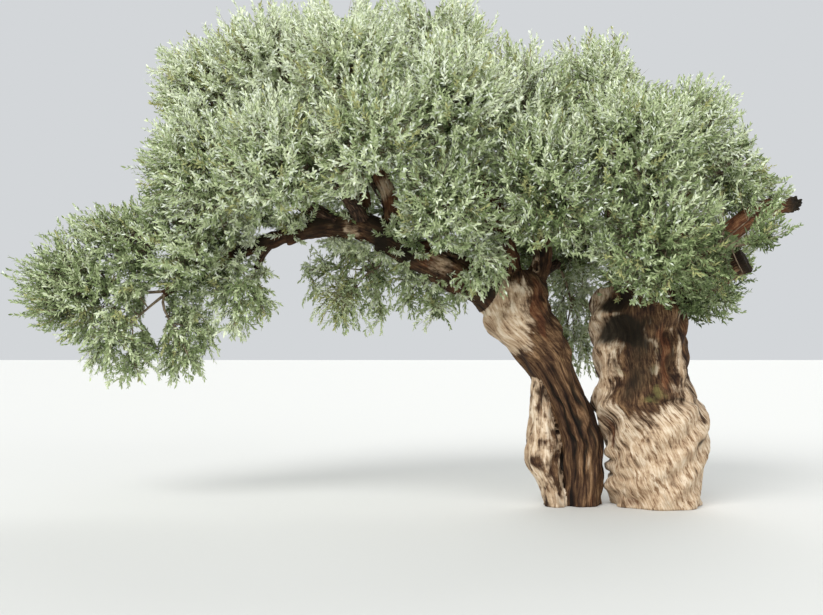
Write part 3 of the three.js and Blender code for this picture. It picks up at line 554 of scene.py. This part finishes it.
# The boughs inside the crown. They are live limbs with thin grey-brown bark, finely cracked, and each tapers from
# the stem or the limb that it leaves to the flat tip that carries its leafy branches.
BOUGHS = [  # name, radii at both ends and path in millimetres
    ("underside", (42, 30), [(-3800, 0, 2650), (-3930, -10, 2480), (-3990, -10, 2340)]),
    ("left_rise", (95, 50), [(-3200, -30, 2790), (-3560, -30, 3020), (-3900, 0, 3320), (-4110, 20, 3600)]),
    ("left_forward", (85, 48), [(-2890, -50, 2740), (-3010, -330, 2950), (-3180, -620, 3110)]),
    ("centre_back", (90, 50), [(-2480, -30, 2560), (-2570, 330, 2880), (-2830, 740, 3330), (-3020, 950, 3640)]),
    ("arch_under", (60, 40), [(-2330, -30, 2480), (-2430, 210, 2520), (-2590, 360, 2500)]),
    ("front_left", (75, 45), [(-1490, -30, 2530), (-1640, -290, 2640), (-1820, -520, 2700)]),
    ("stem_back", (80, 45), [(-1250, 60, 2050), (-1090, 300, 2300), (-900, 520, 2440)]),
    ("right_back", (110, 52), [(-90, 100, 2050), (0, 300, 2520), (110, 480, 2980), (150, 560, 3260)]),
    ("right_forward", (95, 48), [(-60, -100, 2060), (20, -390, 2250), (140, -630, 2400)]),
    ("right_low", (62, 42), [(420, -40, 2390), (500, 150, 2390), (560, 260, 2360)]),
]
limbs = {**arch, "right_rise": right_rise, "right_crown": right_crown, "sawn_stump": stump, "sawn_end": broken_limb}
skins, fibres_along = [], []
for number, (name, radii, path) in enumerate(BOUGHS):
    limbs[name] = bough_line(path, radii, 0.22, 34)
    skins.append(bough_skin(limbs[name], 24, 0.17, 40 + number))
    fibres_along.append(on_bough(skins[-1][0], limbs[name])["fibre"])
bough_mesh = plain_mesh("boughs", *laid_together(skins))
bough_mesh.attributes.new("fibre", "FLOAT_VECTOR", "POINT").data.foreach_set(
    "vector", (np.vstack(fibres_along) * 0.001).ravel())
bough_mesh.polygons.foreach_set("use_smooth", np.ones(len(bough_mesh.polygons), bool))

# Live olive bark: matt and dry, grey-brown plates 25 mm wide and 110 mm long with umber cracks between them.
live_bark, tree, surface = finish("live_olive_bark", IOR=1.5, Roughness=0.85, Specular_IOR_Level=0.25)
fibre_place = add(tree, "Attribute", {"attribute_name": "fibre"}, gives="Vector")
stretched = add(tree, "Mapping", Vector=fibre_place, Scale=(42, 42, 9))
plates = add(tree, "TexVoronoi", {"feature": "DISTANCE_TO_EDGE"}, Vector=stretched, Scale=1.0)
rough = add(tree, "TexNoise", Vector=stretched, Scale=1.4, Detail=5.0, Roughness=0.65)
crack = add(tree, "MapRange", Value=plates, From_Min=0.0, From_Max=0.3)
shade = 0.0
for pattern, share in ((crack, 0.16), (rough, 0.84)):
    shade = add(tree, "Math", times_plus, i0=pattern, i1=share, i2=shade)
tree.links.new(add(tree, "ValToRGB", stops=((0.38, "#1E150F"), (0.5, "#3D2C21"), (0.6, "#5C4636"), (0.74, "#84705C")),
                   Fac=shade), surface.inputs["Base Color"])
relief = add(tree, "Math", times_plus, i0=rough, i1=0.8, i2=crack)
tree.links.new(add(tree, "Bump", Height=relief, Strength=0.5, Distance=0.01), surface.inputs["Normal"])
show("crown_boughs", bough_mesh, live_bark, ["bough_" + name for name, *_ in BOUGHS])


# The crown. Each mass of leaves grows from one stem on its bough's tip: branches spread evenly round it, leafy shoots
# leave them for the outside, and each shoot carries pairs of narrow leathery leaves, grey-green above and silvery
# with fine scales below. Real leaves are 60 mm long and 12 mm wide; these are broader, as there are fewer of them.
UP, UP_LEFT, OUT_RIGHT, DOWN = (0, 0, 0.55), (-0.4, 0, 0.35), (0.35, 0, 0.35), (0, 0, -0.75)
MASSES = [  # name, its bough, middle, half sizes and the way its shoots lean
    ("arm_tip", "arch_fall", (-5800, 0, 2190), (570, 600, 550), UP_LEFT),
    ("arm_hanging_outer", "arch_fall", (-5290, -60, 1730), (540, 500, 580), DOWN),
    ("arm_hanging_inner", "arch_fall", (-4740, 120, 1650), (370, 400, 520), DOWN),
    ("arm_shoulder", "arm_upper", (-5380, 130, 2600), (580, 540, 470), UP_LEFT),
    ("arm_middle", "arm_upper", (-4700, 110, 2590), (640, 860, 580), UP_LEFT),
    ("underside", "underside", (-4140, -20, 2060), (400, 480, 470), DOWN),
    ("left_front", "left_rise", (-4420, -520, 3270), (630, 580, 600), UP_LEFT),
    ("left_back", "left_rise", (-4480, 620, 3500), (700, 640, 680), UP_LEFT),
    ("left_brow", "left_rise", (-4520, -60, 4110), (550, 600, 580), UP_LEFT),
    ("left_top", "left_crown", (-3880, -260, 4330), (630, 600, 580), UP),
    ("left_top_back", "left_crown", (-3940, 780, 4420), (650, 650, 580), UP),
    ("left_forward", "left_forward", (-3640, -1000, 3290), (630, 600, 580), UP),
    ("centre_forward", "left_forward", (-2760, -1230, 3470), (650, 600, 600), UP),
    ("centre_top_front", "centre_rise", (-3030, -760, 4230), (640, 600, 580), UP),
    ("centre_top", "centre_rise", (-3150, 230, 4650), (650, 630, 600), UP),
    ("centre_back", "centre_back", (-3150, 1270, 3880), (720, 640, 800), UP),
    ("under_arch", "arch_under", (-3050, 460, 2230), (560, 460, 600), DOWN),
    ("under_arch_right", "arch_under", (-2230, 400, 2200), (480, 430, 460), DOWN),
    ("high_top", "upright", (-2210, 0, 4560), (670, 650, 650), UP),
    ("high_front", "upright", (-2110, -1030, 3800), (640, 600, 600), UP),
    ("high_back", "upright", (-2050, 1060, 3830), (700, 660, 820), UP),
    ("arch_front", "front_left", (-2200, -1000, 2960), (640, 540, 580), UP),
    ("stem_front", "front_left", (-1830, -640, 2330), (410, 380, 370), DOWN),
    ("middle_front", "second_upright", (-1200, -970, 3090), (660, 570, 660), UP),
    ("middle_top", "second_upright", (-1380, -260, 3940), (630, 600, 600), UP),
    ("middle_back", "second_upright", (-1180, 900, 3640), (690, 660, 700), UP),
    ("between_stems", "stem_back", (-700, 660, 1830), (360, 350, 630), DOWN),
    ("low_back", "stem_back", (-900, 1040, 2720), (760, 600, 560), UP),
    ("right_top", "right_rise", (-500, 0, 4110), (630, 630, 600), UP),
    ("right_front", "right_rise", (-420, -940, 3380), (640, 570, 620), UP),
    ("right_back", "right_back", (120, 940, 3560), (700, 660, 720), OUT_RIGHT),
    ("right_crown", "right_crown", (330, -200, 3660), (580, 600, 560), OUT_RIGHT),
    ("right_low_front", "right_forward", (-130, -930, 2540), (620, 550, 570), OUT_RIGHT),
    ("right_low_side", "right_forward", (640, -880, 2500), (450, 430, 500), OUT_RIGHT),
    ("right_edge", "right_crown", (890, 60, 3340), (430, 560, 520), OUT_RIGHT),
    ("right_low", "right_low", (640, 260, 2340), (500, 520, 520), OUT_RIGHT),
]
REGIONS = {  # the pieces that the leaves are joined into, with how many masses of the list each takes
    "arm": 6, "left": 6, "centre": 6, "high": 5, "middle": 5, "right": 4, "right_low": 4,
}
GOLDEN_ANGLE = math.pi * (3 - math.sqrt(5))
SHOOTS_PER_M2 = 147  # on the outside of a mass, before those in a neighbour's space or shade are left out
PAIRS = 10           # of leaves on a shoot
LEAF = (59, 17)      # length and width
SHADED_LEAF = (112, 32)  # drawn larger, as it stands for several inside a mass
CROWN_TOP = 5290     # mm, the highest that a shoot's tip grows
TONES = [  # from dark to light, old leaves and painted shade up to young leaves and painted sunlight, then yellowing, underside and painted shade, with the sheen of each
    ("0", "#5F6F42", 0.1), ("1", "#7D8E5B", 0.1), ("2", "#98A776", 0.1), ("3", "#B4C192", 0.1), ("4", "#CFD9B1", 0.1),
    ("5", "#E4EBCE", 0.1), ("6", "#ABAD74", 0.1), ("underside", "#DEE5D3", 0.35), ("shaded", "#76845A", 0.0),
]
YELLOWING, UNDERSIDE, SHADED = 6, 7, 8
YELLOWING_SPRAY = (-3200, 300, 2000)    # the middle of the tuft of old leaves under the arch
SUNLIT_SPRAY = (-700, 660, 1830)        # the middle of the mass seen between the stems, painted paler as if sunlit
GAPS = [  # where bare wood or sky shows: the front and back end of each gap, half its width and half its height
    ((-2988, -1700, 2600), (-3100, 0, 2810), 480, 200), ((-2700, -1700, 2790), (-2760, -120, 3030), 130, 250),
    ((-2446, -1700, 2373), (-2446, -60, 2543), 210, 120), ((-2153, -1700, 2222), (-2102, -60, 2364), 210, 125),
    ((310, -1700, 2580), (840, 0, 2790), 115, 125), ((820, -1700, 2730), (1520, 200, 3010), 120, 140),
    ((350, -1700, 2280), (760, -420, 2400), 150, 135), ((-4580, -1700, 1820), (-5720, 3000, 1990), 110, 250),
    ((-3030, -1700, 4560), (-3350, 3000, 6200), 140, 240), ((-2260, -1700, 4570), (-2170, 3000, 6220), 100, 220),
    ((850, -1700, 1820), (2600, 3000, 1990), 600, 750), ((-310, -1700, 4120), (840, 3000, 5530), 320, 380),
    ((905, -1700, 3616), (2687, 3000, 4757), 620, 750), ((-5100, -1700, 2880), (-6500, 3000, 3630), 420, 150),
]
YOUNG = {  # tufts of young shoots on the old limbs, by the mass each belongs to: limb, share of its length and way
    "underside": [("arch_crest", 0.95, (-0.2, -1, 0.1)), ("arch_fall", 0.25, (-0.2, -1, 0.2)),
        ("arch_fall", 0.5, (-0.3, -1, 0.1)), ("arch_crest", 0.8, (-0.1, -1, 0.6))],
    "arm_hanging_inner": [("arch_fall", 0.8, (-0.2, -1, 0))],
    "left_forward": [("arch_crest", 0.28, (0, -1, 1.1))],
    "arch_front": [("arch_rise", 0.93, (0.2, -1, 0.5)), ("arch_rise", 0.76, (0.1, -1, 0.5))],
    "under_arch": [("arch_rise", 0.98, (-0.2, -0.2, -1)), ("arch_crest", 0.2, (0, -0.2, -1)),
        ("arch_crest", 0.38, (0, -0.2, -1)), ("arch_crest", 0.02, (0.2, -0.1, -1)),
        ("arch_crest", 0.52, (0, -0.1, -1)), ("arch_rise", 0.85, (0, -0.2, -1))],
    "under_arch_right": [("arch_rise", 0.62, (0, -0.2, -1)), ("arch_rise", 0.45, (0, -0.2, -1)),
        ("arch_rise", 0.5, (0, 0.6, 0.9))],
    "centre_back": [("centre_back", 0.4, (-1, 0, 0.2)), ("centre_back", 0.25, (-0.7, 0.2, 0.8)),
        ("arch_crest", 0.3, (0, 0.7, 0.7)), ("arch_rise", 0.85, (0, 0.7, 0.8)), ("arch_crest", 0.6, (0, 0.8, 0.6)),
        ("arch_rise", 0.68, (0.2, 0.6, 0.9))],
    "low_back": [("arch_rise", 0.35, (0, 0.8, 0.8))],
    "left_front": [("arm_upper", 0.2, (0.1, -1, -0.3)), ("arm_upper", 0.45, (0, -1, -0.3)),
        ("arm_upper", 0.7, (0, -1, -0.3))],
    "right_front": [("right_rise", 0.08, (-0.7, -0.7, 0.1)), ("right_rise", 0.2, (-0.8, -0.5, 0))],
    "right_low_side": [("sawn_stump", 0.5, (0.1, -1, -0.1)), ("sawn_stump", 0.3, (0.2, -1, -0.3))],
    "right_low_front": [("sawn_stump", 0.15, (0, -1, -0.3))],
    "right_edge": [("sawn_end", 0.82, (0.1, -0.8, 0.4)), ("sawn_end", 0.52, (-0.3, 0.7, 0.6)),
        ("sawn_end", 0.7, (0, 0.8, 0.5))],
}
middles = np.array([row[2] for row in MASSES], float)
halves = np.array([row[3] for row in MASSES], float)


def seeded(seed):
    """Numbers from 0 to 1, the same on every run."""
    state = seed
    while True:
        state = (state * 1664525 + 1013904223) % 2 ** 32
        yield state / 2 ** 32


def all_round(count, turn):
    """Directions spread evenly all round, from the top down."""
    n = np.arange(count)
    level = 1 - 2 * (n + 0.5) / count
    angle = turn + n * GOLDEN_ANGLE
    flat = np.sqrt(1 - level ** 2)
    return np.column_stack([flat * np.cos(angle), flat * np.sin(angle), level])


def inside_space(n, places, margin):
    """Whether places keep to the side of a mass in the planes half way to the masses near it."""
    away = np.delete(middles, n, 0) - middles[n]
    apart = np.linalg.norm(away, axis=1)
    way = away / apart[:, None]
    own, other = np.linalg.norm(way * halves[n], axis=1), np.linalg.norm(way * np.delete(halves, n, 0), axis=1)
    near = apart < 1.3 * (own + other)
    limit = apart * own / (own + other) - 6 + margin
    return ((places - middles[n]) @ way[near].T < limit[near]).all(1)


def curve_at(ends, t):
    """Place and direction on cubic curves, each given by four places, at a share of each."""
    a, b, c, d = (ends[:, k] for k in range(4))
    t = t[:, None]
    place = a * (1 - t) ** 3 + 3 * b * t * (1 - t) ** 2 + 3 * c * t ** 2 * (1 - t) + d * t ** 3
    return place, unit(3 * ((b - a) * (1 - t) ** 2 + 2 * (c - b) * t * (1 - t) + (d - c) * t ** 2))


def cut_short(ends, t):
    """The first part of each cubic curve, up to a share of it."""
    a, b, c, d = (ends[:, k] for k in range(4))
    t = t[:, None]
    ab, bc, cd = a + (b - a) * t, b + (c - b) * t, c + (d - c) * t
    abc, bcd = ab + (bc - ab) * t, bc + (cd - bc) * t
    return np.stack([a, ab, abc, abc + (bcd - abc) * t], 1)


def twig_tubes(ends, radii, sides, shares):
    """Thin pointed tubes along cubic curves: places and triangles."""
    count = len(ends)
    rings = []
    for share in shares:
        place, way = curve_at(ends, np.full(count, share))
        side = unit(np.cross(way, np.array([0.31, 0.22, 0.93])))
        third = np.cross(way, side)
        reach = (radii[:, 0] + (radii[:, 1] - radii[:, 0]) * share)[:, None]
        for s in range(sides):
            turn = 2 * math.pi * s / sides
            rings.append(place + reach * (side * math.cos(turn) + third * math.sin(turn)))
    rings.append(curve_at(ends, np.ones(count))[0])
    places = np.stack(rings, 1)
    own = [(r * sides + s, r * sides + (s + 1) % sides, (r + 1) * sides + (s + 1) % sides)
           for r in range(len(shares) - 1) for s in range(sides)]
    own += [(r * sides + s, (r + 1) * sides + (s + 1) % sides, (r + 1) * sides + s)
            for r in range(len(shares) - 1) for s in range(sides)]
    last = (len(shares) - 1) * sides
    own += [(last + s, last + (s + 1) % sides, last + sides) for s in range(sides)]
    per = last + sides + 1
    return places.reshape(-1, 3), (np.array(own)[None] + per * np.arange(count)[:, None, None]).reshape(-1, 3)


# A leaf's corners after its root, each with its shares of the length and the width and how far the blade bows there,
# and its triangles. The leaves of the outer sprays have four, those further in two.
FINE_LEAF = ([(0.33, 0.5, 0.06), (0.33, -0.5, 0.06), (0.7, 0.4, 0.02), (0.7, -0.4, 0.02), (1, 0, -0.14)],
             [(0, 1, 2), (2, 1, 3), (2, 3, 4), (4, 3, 5)])
PLAIN_LEAF = [(0.45, 0.6, 0.06), (0.5, -0.6, 0.06), (1, 0, -0.14)], [(0, 1, 2), (2, 1, 3)]


def blades(root, way, flat, length, width, curl, shape):
    """Narrow pointed leaves bowed along their length: places and triangles."""
    across = unit(np.cross(way, flat))
    over = np.cross(across, way)
    corners, faces = shape
    places = np.stack([root] + [root + way * (far * length)[:, None] + across * (out * width)[:, None]
                                + over * (rise * curl * length)[:, None] for far, out, rise in corners], 1)
    starts = (len(corners) + 1) * np.arange(len(root))
    return places.reshape(-1, 3), (np.array(faces)[None] + starts[:, None, None]).reshape(-1, 3)


def mesh_of(name, places, triangles, tones=None, smooth=False):
    """Mesh in metres from arrays of places in millimetres and triangles, with a material for each triangle."""
    mesh = bpy.data.meshes.new(name)
    mesh.vertices.add(len(places))
    mesh.vertices.foreach_set("co", (places * 0.001).ravel())
    mesh.loops.add(triangles.size)
    mesh.loops.foreach_set("vertex_index", triangles.ravel())
    mesh.polygons.add(len(triangles))
    mesh.polygons.foreach_set("loop_start", np.arange(0, triangles.size, 3))
    mesh.polygons.foreach_set("use_smooth", np.full(len(triangles), smooth))
    if tones is not None:
        mesh.polygons.foreach_set("material_index", tones)
    mesh.update(calc_edges=True)
    mesh.validate()
    return mesh


def in_gap(places):
    """Whether places lie in a gap. The edge of a gap is ragged."""
    ragged = 1 + 0.45 * grain(places / 90, 97)
    found = np.zeros(len(places), bool)
    for front, back, wide, high in GAPS:
        front, back = np.array(front), np.array(back)
        share = (places[:, 1] - front[1]) / (back[1] - front[1])
        off = places - front - (back - front) * share[:, None]
        found |= ((off[:, 0] / wide) ** 2 + (off[:, 2] / high) ** 2 < ragged) & (share < 1)
    return found


def young_shoots(limb, share, toward, dice):
    """A tuft of ten shoots 130 to 240 mm long that springs from the skin of an old limb."""
    place = int(share * (len(limb["line"]) - 1))
    away = unit(toward + 0.55 * dice.normal(size=(10, 3)))
    root = limb["line"][place] + limb["radius"][place] * unit(away + toward) * 0.9
    length = (130 + 110 * dice.random(len(away)))[:, None]
    end = root + away * length + np.array([0, 0, 0.2]) * length
    return np.stack([root, root + away * 0.35 * length, end - unit(away + (0, 0, 0.5)) * 0.35 * length, end], 1)


def grow_mass(n):
    """The branches, shoots and leaves of one mass, as curves and arrays."""
    name, bough, _, _, lean = MASSES[n]
    middle, half, lean = middles[n], halves[n], np.array(lean)
    dense = lean[2] > 0  # a mass whose shoots hang is thinner
    random = seeded(101 + 37 * n)
    dice = np.random.default_rng(500 + n)
    tip, ahead = limbs[bough]["line"][-1], limbs[bough]["frames"][0][-1]
    sharing = [k for k, row in enumerate(MASSES) if row[1] == bough]
    first = middles[sharing[0]] - tip
    side = unit(first - ahead * (first @ ahead))
    turn = 2 * math.pi * sharing.index(n) / len(sharing)
    side = side * math.cos(turn) + np.cross(ahead, side) * math.sin(turn)
    # The stem springs from the bough's tip, beside those of the other masses there, and ends near the middle.
    thick = limbs[bough]["radius"][-1] * 0.38
    start = tip + side * (0.55 * limbs[bough]["radius"][-1] if len(sharing) > 1 else 0) - 14 * ahead
    near = start + 84 * ahead + 12 * side
    end = middle + 0.12 * (start - middle)
    over = (near + end) / 2 + ahead * 0.08 * np.linalg.norm(end - near)
    stem = smooth_line([start, near, over, end], 40)
    for _ in range(42):  # passes over the first 42 numbers, kept for the 42 corners of the mass's core, which isn't built here
        next(random)
    # Branches leave it all round, and stay on this mass's side of the planes half way to its neighbours.
    outs = all_round(19 if dense else 9, 2 * math.pi * next(random))
    roots = stem[np.clip((39 * (1 - 0.15 * (outs[:, 2] + 1) - 0.25 * dice.random(len(outs)))).astype(int), 0, 39)]
    reach = (0.56 if dense else 0.8) * (0.9 + 0.2 * dice.random(len(outs)))
    tips = middle + outs * half * reach[:, None]
    kept = inside_space(n, tips, 60)
    outs, roots, tips = outs[kept], roots[kept], tips[kept]
    span = np.linalg.norm(tips - roots, axis=1, keepdims=True)
    branches = np.stack([roots, roots + (tips - roots) * 0.3 - lean * 0.1 * span,
                         roots + (tips - roots) * 0.7 - lean * 0.12 * span, tips], 1)
    # Shoots end all over the outside and some way in. Each leaves the branch that heads for its end.
    area = 4 * math.pi * np.mean(half / 1000) ** 2  # in square metres
    full = 1 if dense else 0.8 if name.startswith("arm") else 0.55
    aims = all_round(int(SHOOTS_PER_M2 * area * full), 2 * math.pi * next(random))
    aims = unit(aims + 0.1 * dice.normal(size=aims.shape))
    far = 0.64 + 0.42 * dice.random(len(aims)) ** 0.9 if dense else 0.3 + 0.74 * dice.random(len(aims)) ** 0.7
    leaders = (dice.random(len(aims)) < 0.07) & (aims @ unit(lean) > 0.3) & dense  # young shoots beyond the rest
    far = np.where(leaders, 1.06 + 0.12 * dice.random(len(aims)), far)
    others = np.arange(len(MASSES)) != n
    skin = middle + aims * half
    apart = np.linalg.norm((skin[:, None] - middles[others]) / halves[others], axis=2)
    filled = 1 + 0.17 * np.minimum(np.exp(-5 * (apart - 1)).sum(1), 1.3)  # to fill the folds between the masses
    uneven = 1 + 0.1 * grain(skin / 330, 71) + 0.08 * grain(skin / 700, 72)
    ends = middle + aims * half * (far * uneven * (filled if dense else 1))[:, None]
    ends[:, 2] = np.minimum(ends[:, 2], CROWN_TOP)
    kept = inside_space(n, ends, 60)
    depth = np.linalg.norm((ends[:, None] - middles[others]) / halves[others], axis=2).min(1)
    kept &= dice.random(len(aims)) < np.clip((depth - 0.72) / 0.2, 0.03, 1)  # for want of light inside the crown
    aims, far, ends = aims[kept], far[kept], ends[kept]
    chosen = (aims @ outs.T + 0.25 * dice.random((len(aims), len(outs)))).argmax(1)
    share = 0.3 + 0.7 * dice.random(len(aims))
    start, along_branch = curve_at(branches[chosen], share)
    aside = unit(np.cross(dice.normal(size=aims.shape), aims))
    way = unit(0.75 * aims + (1.9 if dense else 1.2) * lean + 0.5 * aside)
    span = np.linalg.norm(ends - start, axis=1, keepdims=True)
    shoots = np.stack([start, start + along_branch * 0.3 * span, ends - way * 0.42 * span, ends], 1)
    kept = np.all([~in_gap(curve_at(shoots, np.full(len(shoots), t))[0]) for t in (0.1, 0.4, 0.7, 1)], axis=0)
    shoots, span, far = shoots[kept], span[kept], far[kept]
    reached = np.zeros(len(branches))
    np.maximum.at(reached, chosen[kept], share[kept])
    branches = cut_short(branches[reached > 0], reached[reached > 0])
    old = len(shoots)
    for limb, share, toward in YOUNG.get(name, ()):
        own = young_shoots(limbs[limb], share, unit(np.array(toward, float)), dice)
        shoots = np.concatenate([shoots, own])
        span = np.concatenate([span, np.linalg.norm(own[:, 3] - own[:, 0], axis=1, keepdims=True)])
        far = np.concatenate([far, np.ones(len(own))])
    return {"stem": stem, "thick": thick, "branches": branches, "shoots": shoots, "span": span[:, 0], "far": far,
            "young": len(shoots) - old, "dice": dice, "dense": dense}


def gathered(parts):
    """Several lists of places and triangles as one."""
    starts = np.cumsum([0] + [len(part[0]) for part in parts[:-1]])
    return np.vstack([part[0] for part in parts]), np.vstack([part[1] + start for part, start in zip(parts, starts)])


def leaves_of(mass):
    """Leaves in pairs along the outer part of every shoot, and larger shaded ones further in."""
    dice, shoots, span = mass["dice"], mass["shoots"], mass["span"] * 1.04
    count = len(shoots)
    leafy = np.clip((230 + 90 * dice.random(count)) / span, 0.2, 0.86)  # the last 230 to 320 mm of a shoot
    share = (np.arange(2 * PAIRS) // 2 + 0.6) / PAIRS
    t = 1 - leafy[:, None] * (1 - share[None]) - 0.012 * dice.random((count, 2 * PAIRS))
    inner = np.sort(dice.random((count, 2)), 1) * (0.9 - leafy[:, None]) + 0.05
    t = np.concatenate([t, inner], 1)
    each = t.shape[1]
    shoot, leaf = np.repeat(np.arange(count), each), np.tile(np.arange(each), count)
    shaded = leaf >= 2 * PAIRS
    outer = ~shaded & (leaf >= 2 * PAIRS - 5)
    root, ahead = curve_at(shoots[shoot], t.ravel())
    side = unit(np.cross(ahead, np.array([0.31, 0.22, 0.93])))
    turn = (leaf // 2) * math.pi / 2 + (leaf % 2) * math.pi + dice.normal(0, 0.35, len(root)) + 2.4 * shoot
    out = side * np.cos(turn)[:, None] + np.cross(ahead, side) * np.sin(turn)[:, None]
    along_shoot = np.clip((t - (1 - leafy[:, None])) / leafy[:, None], 0, 1).ravel()
    open_angle = np.where(shaded, 1.0, 0.85 - 0.5 * along_shoot) + dice.normal(0, 0.14, len(root))
    way = unit(ahead * np.cos(open_angle)[:, None] + out * np.sin(open_angle)[:, None]
               + np.array([0, 0, 0.0 if mass["dense"] else -0.12]))
    flat = unit(ahead - out * 0.3 + 0.3 * dice.normal(size=root.shape))
    size = (0.8 + 0.4 * dice.random(len(root))) * (0.78 + 0.3 * np.sin(math.pi * np.clip(along_shoot, 0.1, 0.9)))
    broad = shaded & mass["dense"]
    length = np.where(broad, SHADED_LEAF[0], LEAF[0]) * size
    width = np.where(broad, SHADED_LEAF[1], LEAF[1]) * (0.85 + 0.3 * dice.random(len(root)))
    free = ~in_gap(root + way * 40) | (shoot >= count - mass["young"])
    # Painted sunlight lightens the top and the left of the crown, and painted shade darkens the arm's end and the low
    # right, but for the outer fringe; the mass seen between the stems is painted lighter too.
    tips = shoots[:, 3]
    x, _, z = tips.T
    patch = grain(tips / 420, 61) + 0.5 * grain(tips / 160, 62)
    # Painted shade: the leaves of shoots that end further in are darker, those at the outside lighter.
    depth = np.clip((mass["far"] - 0.66) / 0.42, 0, 1)
    bright = 1.2 * np.clip((z - 3050) / 1200, -1, 1.3) - 0.4 * np.clip((x + 2400) / 2600, -1, 0.8)
    bright -= 0.5 * np.clip((-4600 - x) / 500, 0, 1)
    fringe = np.clip((x - 400) / 250, 0, 1) * np.clip((2350 - z) / 300, 0, 1)
    low_right = np.clip((x + 300) / 500, 0, 1) * np.clip((3000 - z) / 600, 0, 1) * (1 - fringe)
    bright -= 1.3 * low_right
    bright += 1.6 * np.exp(-((tips - SUNLIT_SPRAY) ** 2).sum(1) / 600 ** 2)
    level = 2.8 + 0.9 * patch + 1.4 * (depth - 0.5) + bright + 0.7 * dice.normal(size=count)
    # Painted light: the masses whose shoots hang lie low and in shade, so their leaves get lighter tones.
    level = level + (0 if mass["dense"] else 1.2)
    tone = np.clip(np.rint(level[shoot] + 0.6 * dice.normal(size=len(root))), 0, 5).astype(int)
    yellow_share = np.exp(-((tips - YELLOWING_SPRAY) ** 2).sum(1) / 230 ** 2)
    old = dice.random(count) < 0.06 - 0.1 * patch + 0.08 * low_right + 0.85 * yellow_share
    spin = dice.random(len(root))  # which leaves show their underside or have turned
    # Where the painted sunlight is stronger, more leaves show their silvery undersides.
    silver = 0.15 + 0.08 * np.clip(bright, -1, 1) - 0.08 * low_right
    tone = np.where(old[shoot] & (spin < 0.8), YELLOWING, np.where(spin < silver[shoot], UNDERSIDE, tone))
    # The larger leaves inside a mass take the darker shaded tone as painted shade, but lighter tones where the
    # painted sunlight is strong.
    inner_tone = np.where(bright > 1.0, 4, np.where(bright > 0.55, 2, SHADED))[shoot]
    tone = np.where(broad, np.where(spin < 0.1, 1, inner_tone), tone)
    curl = 0.5 + 0.9 * dice.random(len(root))  # of how far a blade bows
    made, tones = [], []
    for some, shape in ((free & outer, FINE_LEAF), (free & ~outer, PLAIN_LEAF)):
        made.append(blades(root[some], way[some], flat[some], length[some], width[some], curl[some], shape))
        tones.append(np.repeat(tone[some], len(shape[1])))
    return *gathered(made), np.concatenate(tones)


# Olive leaf: leathery, with a thin wax that gives a soft gloss. The scales below give a silvery sheen.
leaf_finishes = [
    finish("olive_leaf_" + name, Base_Color=linear(code), IOR=1.45, Roughness=0.52, Specular_IOR_Level=0.4,
           Sheen_Weight=sheen, Sheen_Roughness=0.5)[0] for name, code, sheen in TONES]

first = 0
twig_parts = {"left": [], "right": []}
for region, count in REGIONS.items():
    members = range(first, first + count)
    first += count
    masses = [grow_mass(n) for n in members]
    parts = [leaves_of(mass) for mass in masses]
    tones = np.concatenate([part[2] for part in parts])
    show(region + "_leaves", mesh_of(region + "_leaves", *gathered(parts), tones), leaf_finishes,
         ["leaves_" + MASSES[n][0] for n in members])
    half = twig_parts["left" if region in ("arm", "left", "centre") else "right"]
    for mass in masses:
        stem, thick = mass["stem"], mass["thick"]
        for curves, radii, sides, shares in (  # the mass's stem, its branches and its shoots, with radii in mm
                (stem[None, [0, 13, 26, 39]], (thick, 0.5 * thick), 6, (0, 0.2, 0.4, 0.6, 0.8, 0.95)),
                (mass["branches"], (0.5 * thick, 5.0), 4, (0, 0.2, 0.45, 0.7, 0.9)),
                (mass["shoots"], (4.6, 1.6), 3, (0, 0.55))):
            half.append(twig_tubes(curves, np.tile(radii, (len(curves), 1)), sides, shares))

# Twigs of the last years: smooth thin bark, ash grey to fawn, mottled every 40 mm or so.
twig_bark, tree, surface = finish("olive_twig", IOR=1.5, Roughness=0.8)
spot = add(tree, "TexNoise", Vector=add(tree, "TexCoord", gives="Object"), Scale=25.0, Detail=3.0)
fawn = add(tree, "ValToRGB", stops=((0.35, "#5E4F3D"), (0.6, "#8F7E67")), Fac=spot)
tree.links.new(fawn, surface.inputs["Base Color"])
for half, masses in (("left", MASSES[:18]), ("right", MASSES[18:])):
    show(half + "_twigs", mesh_of(half + "_twigs", *gathered(twig_parts[half]), smooth=True), twig_bark,
         ["leaves_" + row[0] for row in masses])


# Floor and light of the studio: a plain pale floor, broad soft light from the front, above and to the left, weaker
# light from the right and from behind, and pale walls all round.
FLOOR_HALF, FLOOR_DROP = 300000, 2  # mm; it lies just under the cut of the stems
corners = [(x * FLOOR_HALF, y * FLOOR_HALF, -FLOOR_DROP) for x, y in ((-1, -1), (1, -1), (1, 1), (-1, 1))]
floor = bpy.data.objects.new("floor", plain_mesh("floor", np.array(corners, float), [(0, 1, 2, 3)]))
bpy.context.collection.objects.link(floor)
floor.data.materials.append(finish("pale_floor", Base_Color=linear("#D8D8D4"), Roughness=0.9)[0])
for name, toward, degrees, strength in (
        ("key", (0.42, 0.72, -0.62), 35, 2.25), ("fill", (-0.5, 0.85, -0.12), 60, 1.05),
        ("back", (-0.2, -0.8, -0.55), 50, 1.1)):
    lamp = bpy.data.objects.new(name, bpy.data.lights.new(name, "SUN"))
    lamp.data.angle = math.radians(degrees)
    lamp.data.energy = strength
    x, y, z = toward
    lamp.rotation_euler = (math.atan2(math.hypot(x, y), -z), 0, math.atan2(y, x) - math.pi / 2)
    bpy.context.collection.objects.link(lamp)
walls = bpy.data.worlds.new("pale_walls")
walls.use_nodes = True
walls.node_tree.nodes["Background"].inputs["Color"].default_value = linear("#D3D6D9")
walls.node_tree.nodes["Background"].inputs["Strength"].default_value = 1.0
bpy.context.scene.world = walls
bpy.context.scene.view_settings.view_transform = "Standard"
